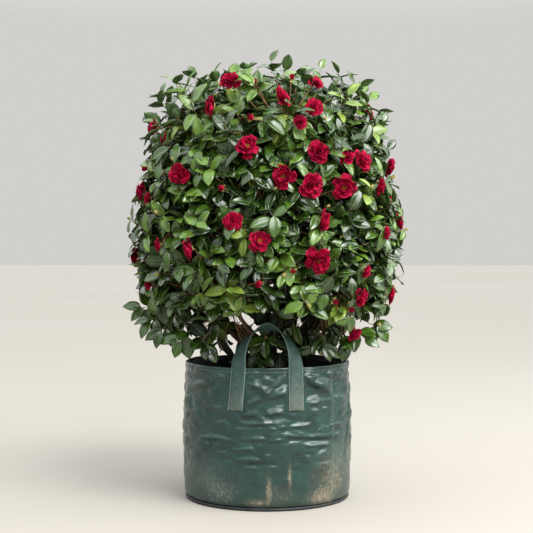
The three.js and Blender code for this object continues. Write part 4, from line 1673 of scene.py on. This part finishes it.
@dataclass
class Flowers:
    """Blooms of several forms, the stamens of the loose ones, and buds at every stage."""

    petal: Material
    stamen: Material
    scale: Material
    filaments: int = 24
    filament_length: float = 0.016
    opening_share: float = 0.05  # of the buds on the twigs
    wobble: float = 0.22  # how far a bloom's facing strays
    sunk: float = 0.006
    seed: int = 5

    def _stamens(self, name: str) -> Object:
        """Make a brush of filaments with anthers at their tips.

        Args:
            name: its name.

        Returns:
            The brush, standing on +Z.
        """
        points, faces = [], []
        for i in range(self.filaments):
            turn, lean = GOLDEN_ANGLE * i, 0.1 + 0.4 * sqrt(i / self.filaments)
            foot, top = polar(turn) * 0.002, polar(turn, sin(lean), cos(lean)) * self.filament_length
            for base, end, wide in ((foot, top, 0.0005), (top, top * 1.11, 0.0014)):
                start = len(points)
                for middle, share in ((base, 0.7), (base.lerp(end, 0.5), 1.0), (end, 0.4)):
                    points += [middle + polar(a) * wide * share for a in (0, 2.1, 4.2)]
                faces += [tuple(start + c for c in face) for face in ring_faces(3, 3)]
        return mesh_object(name, points, faces)

    def _shapes(self) -> Collection:
        """Pack the flowers, the bud and its sepals, and make the brush of stamens.

        Returns:
            The shapes in order of kind.
        """
        wavy = PetalShape("petal_open", cup=0.55, bend=0.1, wave=0.05).build()
        cupped = PetalShape("petal_cupped", cup=1.15, bend=0.42, wave=0.0, half_width=0.46).build()
        shapes = []
        for i, (kind, sizes) in enumerate(WHORLS.items()):
            petal = wavy if kind in (FORMAL, FULL, LOOSE) else cupped
            shapes.append(sizes.build(f"flower_{i}", petal, self.petal))
        shapes.append(self._stamens(f"flower_{len(shapes)}"))
        for made in shapes:
            set_attribute(made, "finish", "INT", [0] * len(made.data.polygons), "FACE")
        bpy.data.batch_remove([wavy, cupped])
        return shelve("flower_shapes", shapes)

    def build(self, places: list[BloomPlace], buds: list[tuple], nodes: list[str]) -> list[Object]:
        """Set out every bloom, bud and brush of stamens.

        Args:
            places: the blooms.
            buds: the tips that carry a bud, and the way each points.
            nodes: the CAD nodes the pieces stand for.

        Returns:
            The pieces.
        """
        dice = random.Random(self.seed)
        blooms, scales, brushes = Spray(), Spray(), Spray()
        opening, bud, sepals, brush = 3, 4, 5, 6
        for place in places:
            tipped = (place.out + stray(dice) * self.wobble).normalized()
            side = tipped.orthogonal().normalized()
            side.rotate(Matrix.Rotation(dice.uniform(0, 6.28), 3, tipped))
            at = place.at - tipped * self.sunk
            blooms.add(at, side, tipped, place.size, list(Bloom).index(place.form))
            scales.add(at - tipped * 0.004, side, tipped, max(0.7, place.size), sepals)
            if place.form is LOOSE:
                brushes.add(at, side, tipped, 0.9, brush)
        for tip, growth in buds:
            side = growth.orthogonal().normalized()
            if dice.random() < self.opening_share:
                blooms.add(tip, side, growth, dice.uniform(0.7, 1.0), opening)
                scales.add(tip - growth * 0.002, side, growth, 0.9, sepals)
            else:
                scales.add(tip, side, growth, dice.uniform(0.62, 0.98), bud)
        shelf = self._shapes()
        kinds = (
            (blooms, "blooms", self.petal, "petal"), (scales, "bud_scales", self.scale, "bud"),
            (brushes, "stamen_brushes", self.stamen, "stamen"),
        )
        pieces = []
        for spray, name, look, slot in kinds:
            pieces.append(hand_in(spray.build(name, shelf, look, look, look), slot, *nodes))
        bpy.data.batch_remove([*shelf.objects, shelf])
        return pieces


# ---- the planter bag ----


# A fold in the wall is a ridge with a hollow under it. Each row has the turn round from the front in degrees
# and the height where it starts, the same where it ends, its depth, its width above and its sag.
CREASES = (
    (26, 0.407, 46, 0.36, 0.0088, 0.021, 0), (0, 0.349, 14, 0.365, 0.0065, 0.016, 0),
    (-2, 0.351, 13, 0.419, 0.004, 0.01, 0), (-10, 0.39, 0, 0.364, 0.005, 0.014, 0),
    (-14, 0.325, -3, 0.345, 0.0032, 0.01, 0), (-16, 0.293, -6, 0.298, 0.004, 0.01, 0),
    (0, 0.298, 10, 0.304, 0.0042, 0.01, 0), (-12, 0.267, 3, 0.27, 0.0026, 0.006, 0),
    (14, 0.258, 29, 0.261, 0.003, 0.007, 0), (2, 0.253, 12, 0.257, 0.003, 0.007, 0),
    (15, 0.231, 54, 0.22, 0.0046, 0.009, -0.003), (-18, 0.219, -3, 0.223, 0.0026, 0.006, 0),
    (1, 0.218, 12, 0.219, 0.0028, 0.007, 0), (26, 0.199, 45, 0.194, 0.004, 0.009, 0),
    (-51, 0.213, -24, 0.214, 0.0034, 0.008, 0.004), (-25, 0.184, -10, 0.194, 0.0026, 0.008, 0),
    (-22, 0.157, -2, 0.156, 0.0026, 0.008, 0), (18, 0.179, 34, 0.18, 0.0026, 0.008, 0),
    (27, 0.323, 44, 0.33, 0.0022, 0.01, 0), (47, 0.408, 61, 0.4, 0.004, 0.011, 0),
    (53, 0.334, 63, 0.331, 0.0034, 0.009, 0), (46, 0.253, 58, 0.251, 0.0038, 0.009, 0),
    (-69, 0.359, -44, 0.379, 0.0046, 0.015, 0), (-43, 0.317, -29, 0.297, 0.003, 0.011, 0),
    (-72, 0.336, -61, 0.278, 0.004, 0.012, 0), (-69, 0.278, -54, 0.244, 0.004, 0.011, 0),
    (76, 0.33, 70, 0.2, 0.0034, 0.012, 0), (98, 0.41, 120, 0.33, 0.005, 0.011, 0),
    (130, 0.25, 172, 0.236, 0.004, 0.008, 0.005), (150, 0.19, 196, 0.2, 0.0034, 0.009, 0),
    (176, 0.424, 184, 0.35, 0.0045, 0.011, 0), (200, 0.4, 228, 0.35, 0.0048, 0.011, 0),
    (222, 0.262, 262, 0.25, 0.004, 0.008, -0.005), (238, 0.15, 262, 0.168, 0.003, 0.01, 0),
    (110, 0.14, 138, 0.128, 0.0028, 0.01, 0),
)


@dataclass
class PlanterBag:
    """The bag's woven wall: hemmed rim, vertical seam, folds and a rolled foot."""

    cloth: Material
    lining: Material
    thread: Material
    height: float = 0.438
    belly_radius: float = 0.272
    belly_height: float = 0.2
    rim_radius: float = 0.262
    foot_height: float = 0.0103
    corner_height: float = 0.018
    corner_inset: float = 0.007
    wall: float = 0.0016
    hem: float = 0.015
    hem_relief: float = 0.0009
    stitch_drop: float = 0.0125
    stitch_pitch: float = 0.0062
    seam_angle: float = 48.6
    seam_width: float = 0.012
    seam_relief: float = 0.001
    seam_rows: int = 70
    seam_sewing: float = 0.0042  # from the seam's middle to each row of stitches
    strap_angle: float = 19.29
    strap_bottom: float = 0.308
    around: int = 440
    up: int = 130
    lined: float = 0.8  # the lining follows the folds down to this share of the height
    crumple: float = 0.0038
    crumple_width: float = 0.066
    crumple_height: float = 0.034

    def radius(self, z: float) -> float:
        """Work out the smooth wall's outer radius.

        Args:
            z: the height.

        Returns:
            The radius.
        """
        above = (z - self.belly_height) / (self.height - self.belly_height)
        corner = max(0.0, 1 - (z - self.foot_height) / self.corner_height)
        drawn_in = (self.belly_radius - self.rim_radius) * above**2
        return self.belly_radius - drawn_in - self.corner_inset * corner**2

    def rim_height(self, angle: float) -> float:
        """Work out the rim's height, with the step and the peak that the photograph shows.

        Args:
            angle: radians round from the front.

        Returns:
            The height.
        """
        turn = degrees(angle)
        soft = 0.0016 * sin(2 * angle + 0.6) + 0.0012 * sin(5 * angle)
        step = 0.005 * smooth_step(-129, -133, turn) * smooth_step(-160, -150, turn)
        return self.height + min(0.0, soft) - step + 0.005 * exp(-((turn - 80) ** 2) / 12)

    def _fold(self, angle: float, z: float) -> float:
        """Add up the creases at a place.

        Args:
            angle: radians round from the front.
            z: the height.

        Returns:
            How far they push the wall out.
        """
        total = 0.0
        for turn0, z0, turn1, z1, depth, width, sag in CREASES:
            turn = (degrees(angle) - turn0 + 180) % 360 - 180
            span = (turn1 - turn0) * radians(1) * self.belly_radius
            x, y, rise = radians(turn) * self.belly_radius, z - z0, z1 - z0
            t = (x * span + y * rise) / (span * span + rise * rise)
            if not -0.25 < t < 1.25:
                continue
            off = (y * span - x * rise) / sqrt(span * span + rise * rise) - sag * sin(pi * t)
            off = -off if span < 0 else off
            if abs(off) < 4 * width:
                fade = smooth_step(-0.25, 0.2, t) * smooth_step(1.25, 0.8, t)
                ridge = exp(-((off / (width * (1.0 if off > 0 else 0.5))) ** 2))
                hollow = 0.4 * exp(-(((off + width * 1.3) / width) ** 2))
                total += depth * fade * (ridge - hollow)
        return total

    def offset(self, angle: float, z: float) -> float:
        """Work out how far the creased wall stands out of its smooth shape.

        Args:
            angle: radians round from the front.
            z: the height.

        Returns:
            The distance.
        """
        straps = (-self.strap_angle, self.strap_angle, 180 - self.strap_angle, 180 + self.strap_angle)
        near = min(abs((degrees(angle) - strap + 180) % 360 - 180) for strap in straps)
        bottom = self.strap_bottom
        under_strap = smooth_step(8.5, 5.2, near) * smooth_step(bottom - 0.02, bottom, z)
        # Swells, dents, fine ridges and flat facets, from the widest to the finest.
        place = Vector((sin(angle), -cos(angle), 0)) * 0.27
        place.z = z
        big = 0.003 * noise.noise(place * 7 + Vector((3, 1, 0)))
        mid = 0.0022 * noise.noise(Vector((place.x * 16, place.y * 16, place.z * 30)))
        ridge_at = Vector((place.x * 17, place.y * 17, place.z * 42))
        fine = 0.0008 * (noise.ridged_multi_fractal(ridge_at, 1.0, 2.1, 3, 1.0, 2.0) - 1.0)
        wide, tall = self.crumple_width, self.crumple_height
        cells, _ = noise.voronoi(Vector((place.x / wide, place.y / wide, place.z / tall)))
        edge = smooth_step(0.0, 0.6, cells[1] - cells[0]) - 0.5
        facets = self.crumple * edge * smooth_step(0.06, 0.16, z)
        loose = 0.35 + 0.65 * smooth_step(0.0, 0.12, z)
        shape = (big + mid + fine + facets + 1.4 * self._fold(angle, z)) * loose
        return shape * (1 - 0.88 * under_strap)

    def point(self, angle: float, z: float, out: float = 0.0) -> Vector:
        """Find a point on the creased wall.

        Args:
            angle: radians round from the front.
            z: the height.
            out: how far outside the wall it lies.

        Returns:
            The point.
        """
        hem = self.hem_relief * smooth_step(self.hem + 0.001, self.hem - 0.001, self.rim_height(angle) - z)
        off_seam = abs(degrees(angle) - self.seam_angle) * radians(1) * self.belly_radius
        half = self.seam_width / 2
        seam = self.seam_relief * smooth_step(half + 0.001, half - 0.001, off_seam)
        radius = self.radius(z) + self.offset(angle, z) + hem + seam + out
        return Vector((sin(angle) * radius, -cos(angle) * radius, z))

    def _wall(self) -> Object:
        """Make the wall as a thin closed shell, green outside and black inside.

        Returns:
            The wall.
        """
        # Each row's share of the height, None for the rim's rounded edge, and how far out of the wall it is.
        inside = -self.wall - self.hem_relief
        rows = [(i / self.up, 0.0) for i in range(self.up + 1)]
        rows += [(None, share * (self.wall + self.hem_relief)) for share in (-0.35, -0.75)]
        rows += [(i / self.up, inside) for i in range(self.up, round(self.up * self.lined), -1)]
        rows += [(self.lined * (1 - i / 6), -self.wall - 0.01) for i in range(7)]
        points, places = [], []
        for share, out in rows:
            for angle in round_angles(self.around):
                top = self.rim_height(angle)
                z = top if share is None else blend(self.foot_height, top, share)
                points.append(self.point(angle, z, out) + (UP * 0.0006 if share is None else Vector()))
                places.append((angle * self.belly_radius, z))
        faces = ring_faces(len(rows), self.around, caps=False)
        last = (len(rows) - 1) * self.around
        for i in range(self.around):
            j = (i + 1) % self.around
            faces.append((last + i, last + j, j, i))
        outer = (self.up + 2) * self.around
        slots = [0] * outer + [1] * (len(faces) - outer)
        piece = mesh_object("bag_wall", points, faces, [self.cloth, self.lining], slots)
        set_uv(piece, places, 2 * pi * self.belly_radius)
        return piece

    def _sewing(self, stitch: Object) -> Object:
        """Sew the hem, and the seam with two rows.

        Args:
            stitch: one stitch.

        Returns:
            The sewing.
        """
        lift, around = 0.0002, self.around
        points = [self.point(a, self.rim_height(a) - self.stitch_drop, lift) for a in round_angles(around)]
        edges = [(i, (i + 1) % around) for i in range(around)]
        for side in (-1, 1):
            angle = radians(self.seam_angle) + side * self.seam_sewing / self.belly_radius
            shares = [k / (self.seam_rows - 1) for k in range(self.seam_rows)]
            start = len(points)
            points += [self.point(angle, blend(0.014, self.height - 0.017, share), lift) for share in shares]
            edges += [(start + k, start + k + 1) for k in range(self.seam_rows - 1)]
        lines = mesh_object("bag_sewing", points, edges=edges)
        kit = {"Stitch": stitch, "Pitch": self.stitch_pitch, "Thread": self.thread}
        return grow(lines, stitch_tree(), kit)

    def build(self, stitch: Object) -> list[Object]:
        """Make the wall, and sew it with copies of one stitch."""
        sewing = hand_in(self._sewing(stitch), "seam_thread", "planter_bag")
        return [hand_in(self._wall(), "woven_poly", "planter_bag"), sewing]


@dataclass
class BagBase:
    """The black base of the bag, with the rolled seam that joins it to the wall."""

    finish: Material
    around: int = 168
    uneven: float = 0.0012
    top: float = 0.01
    profile: tuple = (
        (0.12, 0.0), (0.256, 0.0), (0.261, 0.001), (0.264, 0.004),
        (0.2636, 0.0078), (0.261, 0.0099), (0.256, 0.01), (0.12, 0.01),
    )

    def build(self) -> Object:
        """Make the base.

        Returns:
            The piece.
        """
        points = [Vector()]
        for radius, z in self.profile:
            for i in range(self.around):
                angle = 2 * pi * i / self.around
                rough = self.uneven * noise.noise(polar(angle) * 9) if radius > 0.2 else 0.0
                points.append(polar(angle, radius + rough, z))
        points.append(UP * self.top)
        faces = closed_faces(len(self.profile), self.around)
        return hand_in(mesh_object("base_disc", points, faces, [self.finish]), "base_poly", "bag_base")


@dataclass
class PottingMix:
    """Composted bark in the bag, with loose chips on top."""

    bag: PlanterBag
    finish: Material
    bottom: float = 0.0106
    top: float = 0.378
    clear: float = 0.004
    around: int = 120
    rings: int = 22
    relief: float = 0.006
    dish: float = 0.004  # how far the mix drops towards the wall
    chip_density: float = 5200.0
    chip_size: float = 0.013
    chip_seed: int = 4
    side: tuple = ((0.0106, 0.024), (0.2, 0.024), (0.352, 0.02), (0.371, 0.006))  # heights and insets

    def _chip(self) -> Object:
        """Make one chip of bark of length 1.

        Returns:
            The chip.
        """
        outline = ((-0.5, -0.22), (0.1, -0.3), (0.5, -0.1), (0.42, 0.24), (-0.2, 0.3))
        levels = ((-0.16, 0.7), (0.16, 1.0))
        points = [Vector((x * wide, y * wide, z)) for z, wide in levels for x, y in outline]
        return mesh_object("chip", points, ring_faces(2, len(outline)), smooth=False)

    def build(self) -> list[Object]:
        """Make the plug of mix and the chips.

        Returns:
            The pieces.
        """
        angles = round_angles(self.around)
        points = [UP * self.bottom]
        points += [self.bag.point(angle, z, -inset) for z, inset in self.side for angle in angles]
        for ring in range(self.rings):
            share = 1 - ring / self.rings
            for angle in angles:
                p = self.bag.point(angle, self.top, -self.clear)
                p = Vector((p.x * share, p.y * share, self.top))
                bumps = self.relief * noise.fractal(p * 24, 1.0, 2.0, 4)
                points.append(p + UP * (bumps - self.dish * share**6))
        points.append(UP * self.top)
        faces = closed_faces(len(self.side) + self.rings, self.around)
        mound = mesh_object("potting_mix_plug", points, faces, [self.finish])
        chip, ground = self._chip(), mesh_object("potting_mix_chips", points, faces)
        sizes = {"Density": self.chip_density, "Chip Size": self.chip_size, "Seed": self.chip_seed}
        chips = grow(ground, chip_tree(), {"Chip": chip, "Finish": self.finish, **sizes})
        bpy.data.objects.remove(chip)
        return [hand_in(piece, "potting_mix", "potting_mix") for piece in (mound, chips)]


@dataclass
class Handle:
    """A carrying handle: webbing sewn up the wall, and over in a twisting arch."""

    bag: PlanterBag
    webbing: Material
    thread: Material
    side: str
    width: float = 0.047
    thick: float = 0.0022
    arch: float = 0.124
    lean: float = 0.012
    twist_at_top: float = 40.0
    slant: float = 0.07  # how far the left leg leans out for each metre down
    clear: float = 0.0004
    arch_steps: int = 44
    leg_steps: int = 14
    stitch_pitch: float = 0.0052
    sewing_inset: float = 0.16  # of the way from the strap's edge to its next line of corners
    section: tuple = (  # across and through the strap, as shares of its half width and half thickness
        (-1, -0.4), (-0.985, -1), (-0.5, -1), (0, -1), (0.5, -1), (0.985, -1), (1, -0.4),
        (1, 0.4), (0.985, 1), (0.5, 1), (0, 1), (-0.5, 1), (-0.985, 1), (-1, 0.4),
    )

    def _leg(self, hand: int) -> list[list[Vector]]:
        """Lay one leg of the strap on the wall.

        Args:
            hand: -1 for the left leg and 1 for the right.

        Returns:
            Its sections from the bottom up.
        """
        bag, half = self.bag, self.thick / 2
        made = []
        for i in range(self.leg_steps + 1):
            z = blend(bag.strap_bottom, bag.height + 0.001, i / self.leg_steps)
            turn = self._leg_turn(hand, z)
            spots = [(turn - hand * a * self.width / 2 / bag.rim_radius, out) for a, out in self.section]
            made.append([bag.point(angle, z, self.clear + half + out * half) for angle, out in spots])
        return made

    def _leg_turn(self, hand: int, z: float) -> float:
        """Return the angle round the bag of a leg's middle at a height."""
        slant = self.slant * (self.bag.height - z) if hand < 0 else 0.0
        return radians(self.bag.strap_angle) * hand - slant / self.bag.rim_radius

    def _arch_point(self, feet: Sequence[Vector], u: float) -> Vector:
        """Return the strap's middle at an angle round the arch, from -pi/2 at the left foot to pi/2."""
        foot, reach, rise = feet[u >= 0], abs(sin(u)) ** 1.04, max(0.0, cos(u)) ** 1.02
        return Vector((foot.x * reach, foot.y + self.lean * rise, self.bag.height + self.arch * rise))

    def _arch(self) -> list[list[Vector]]:
        """Bend the strap over from leg to leg.

        Returns:
            Its sections from left to right.
        """
        bag, half, t = self.bag, self.width / 2, self.thick / 2
        feet = [bag.point(self._leg_turn(hand, bag.height), bag.height, self.clear + t) for hand in (-1, 1)]
        rim_twist = -(90 - bag.strap_angle)
        made = []
        for i in range(1, self.arch_steps):
            u = pi * (i / self.arch_steps - 0.5)
            along = (self._arch_point(feet, u + 0.02) - self._arch_point(feet, u - 0.02)).normalized()
            plane = Vector((-along.z, 0, along.x)).normalized()
            twist = radians(blend(self.twist_at_top, rim_twist, abs(u) / (pi / 2)))
            out = plane * cos(twist) + Vector((0, sin(twist), 0))
            out = (out - along * out.dot(along)).normalized()
            across, middle = along.cross(out), self._arch_point(feet, u)
            made.append([middle + across * a * half + out * o * t for a, o in self.section])
        return made

    def _sewing(self, stitch: Object, *legs: list[list[Vector]]) -> Object:
        """Sew both legs to the wall along their edges and ends.

        Args:
            stitch: one stitch.
            *legs: each leg's sections from the bottom up.

        Returns:
            The sewing.
        """
        lines, edges, inset = [], [], self.sewing_inset
        for leg in legs:
            paths = [[ring[i].lerp(ring[j], inset) for ring in leg] for i, j in ((12, 11), (8, 9))]
            paths.append([leg[0][i].lerp(leg[1][i], 0.45) for i in (12, 11, 10, 9, 8)])
            for path in paths:
                start = len(lines)
                lines += [p + Vector((p.x, p.y, 0)).normalized() * 0.0002 for p in path]
                edges += [(start + k, start + k + 1) for k in range(len(path) - 1)]
        thread = mesh_object(f"strap_sewing_{self.side}", lines, edges=edges)
        kit = {"Stitch": stitch, "Pitch": self.stitch_pitch, "Thread": self.thread}
        return grow(thread, stitch_tree(), kit)

    def build(self, stitch: Object) -> list[Object]:
        """Make the strap and its sewing.

        Args:
            stitch: one stitch.

        Returns:
            The pieces.
        """
        left, right = self._leg(-1), self._leg(1)
        rings = [*left, *self._arch(), *reversed(right)]
        middle = Line([sum(ring, Vector((0, 0, 0))) / len(ring) for ring in rings])
        points, places = [], []
        for ring, run in zip(rings, middle.lengths):
            points += ring
            places += [(a * self.width / 2, min(run, middle.length - run)) for a, _ in self.section]
        faces = ring_faces(len(rings), len(self.section))
        strap = mesh_object(f"strap_{self.side}", points, faces, [self.webbing])
        set_uv(strap, places)
        pieces = []
        for piece, slot in ((strap, "webbing"), (self._sewing(stitch, left, right), "seam_thread")):
            if self.side == "back":
                piece.data.transform(Matrix.Rotation(pi, 4, "Z"))
            pieces.append(hand_in(piece, slot, f"handle_{self.side}"))
        return pieces


def make_stitch(length: float = 0.0042, radius: float = 0.0007) -> Object:
    """Make one stitch of thread: a short rounded bar along +X.

    Args:
        length: its length.
        radius: its radius.

    Returns:
        The stitch.
    """
    points = []
    for x, wide in ((-0.5, 0.35), (-0.32, 1.0), (0.32, 1.0), (0.5, 0.35)):
        for k in range(5):
            turn = 2 * pi * k / 5
            points.append(Vector((x * length, cos(turn) * radius * wide, sin(turn) * radius * wide)))
    return mesh_object("stitch", points, ring_faces(4, 5))


# ---- the studio ----


@dataclass
class Studio:
    """A plain pale floor, soft light from a bright sky, and the camera."""

    floor_size: float = 60.0
    camera_at: tuple = (-0.002, -4.2, 0.85)
    camera_tilt: float = -1.48
    lens: float = 87.7
    sun_at: tuple = (1.7, -2.3, 4.6)
    sun_strength: float = 2.1
    sun_softness: float = 24.0
    aim_height: float = 0.8  # every lamp faces the crown here
    # Each panel's power, width and height, and where it hangs.
    panels: tuple = ((260.0, 5.0, 2.0, (2.4, -3.4, 3.5)), (165.0, 3.4, 2.6, (4.2, -0.7, 3.4)))
    horizon: str = "#f4f3f0"
    zenith: str = "#e9eef2"
    horizon_strength: float = 0.7
    front_share: float = 0.5  # the horizon's strength on the camera's side, as a share of the far side's
    zenith_strength: float = 2.2

    def build(self) -> None:
        """Make floor, sky, lights and camera."""
        half = self.floor_size / 2
        corners = [Vector((x, y, 0)) for x, y in ((-half, -half), (half, -half), (half, half), (-half, half))]
        mesh_object("floor", corners, [(0, 1, 2, 3)], [FLOOR_FINISH.build()])
        self._sky()
        sun = bpy.data.lights.new("key", "SUN")
        sun.energy, sun.angle = self.sun_strength, radians(self.sun_softness)
        lamps = [(sun, self.sun_at)]
        for power, width, height, at in self.panels:
            panel = bpy.data.lights.new("panel", "AREA")
            panel.shape, panel.energy, panel.size, panel.size_y = "RECTANGLE", power, width, height
            lamps.append((panel, at))
        for light, at in lamps:
            lamp = bpy.data.objects.new(light.name, light)
            lamp.location = at
            lamp.rotation_euler = (UP * self.aim_height - Vector(at)).to_track_quat("-Z", "Y").to_euler()
            bpy.context.scene.collection.objects.link(lamp)
        camera = bpy.data.objects.new("camera", bpy.data.cameras.new("camera"))
        camera.data.lens = self.lens
        camera.location = self.camera_at
        camera.rotation_euler = (radians(90 + self.camera_tilt), 0, 0)
        bpy.context.scene.collection.objects.link(camera)
        bpy.context.scene.camera = camera
        bpy.context.scene.view_settings.view_transform = "Standard"

    def _sky(self) -> None:
        """Make a pale sky that is brightest overhead and dimmer towards the camera."""
        world = bpy.data.worlds.new("sky")
        world.use_nodes = True
        world.node_tree.nodes.clear()
        add = partial(add_node, world.node_tree)
        _, ahead, up = add("SeparateXYZ", {0: add("TexCoord").outputs["Generated"]}).outputs
        share = add("MapRange", {0: up, 1: 0.16, 2: 0.6})
        far = self.horizon_strength
        level = add("MapRange", {0: ahead, 1: -0.7, 2: 0.3, 3: far * self.front_share, 4: far})
        strength = add("MapRange", {0: share, 3: level, 4: self.zenith_strength})
        ends = {6: linear(self.horizon), 7: linear(self.zenith)}
        colour = add("Mix", {0: share, **ends}, data_type="RGBA")
        sky = add("Background", {"Color": colour, "Strength": strength})
        add("OutputWorld", {0: sky})
        bpy.context.scene.world = world


# ---- the whole part ----


def main() -> None:
    """Build every piece in order and say what was made."""
    logging.basicConfig(level=logging.INFO, format="%(message)s")
    plan = CrownPlan()
    old_bark = BarkFinish("fawn_camellia_bark", "#5d4632", "#8f7355", "#9a9482", 0.5).build()
    young_bark = BarkFinish("young_camellia_bark", "#5f4026", "#96704a", "#8d8064", 0.15).build()
    pieces = [Limbs(plan, old_bark).build()]
    foliage = Foliage(plan, plan.blooms(), young_bark)
    foliage.grow()
    pieces += foliage.build()
    flowers = Flowers(petal=PETAL_FINISH.build(), stamen=STAMEN_FINISH.build(), scale=BUD_FINISH.build())
    pieces += flowers.build(foliage.blooms, foliage.bud_tips, plan.foliage_nodes)

    thread, stitch = THREAD_FINISH.build(), make_stitch()
    bag = PlanterBag(WovenPolyFinish().build(), LINING_FINISH.build(), thread)
    pieces += bag.build(stitch)
    pieces.append(BagBase(BASE_FINISH.build()).build())
    mix = BarkFinish("composted_bark", "#17100b", "#3a2a1d", "#5d4a36", 0.35).build()
    pieces += PottingMix(bag, mix).build()
    webbing = WebbingFinish().build()
    for side in ("front", "back"):
        pieces += Handle(bag, webbing, thread, side).build(stitch)
    bpy.data.objects.remove(stitch)
    Studio().build()
    for piece in pieces:
        piece.data.calc_loop_triangles()
        LOG.info("%s: %d triangles", piece.name, len(piece.data.loop_triangles))


if __name__ == "__main__":
    main()
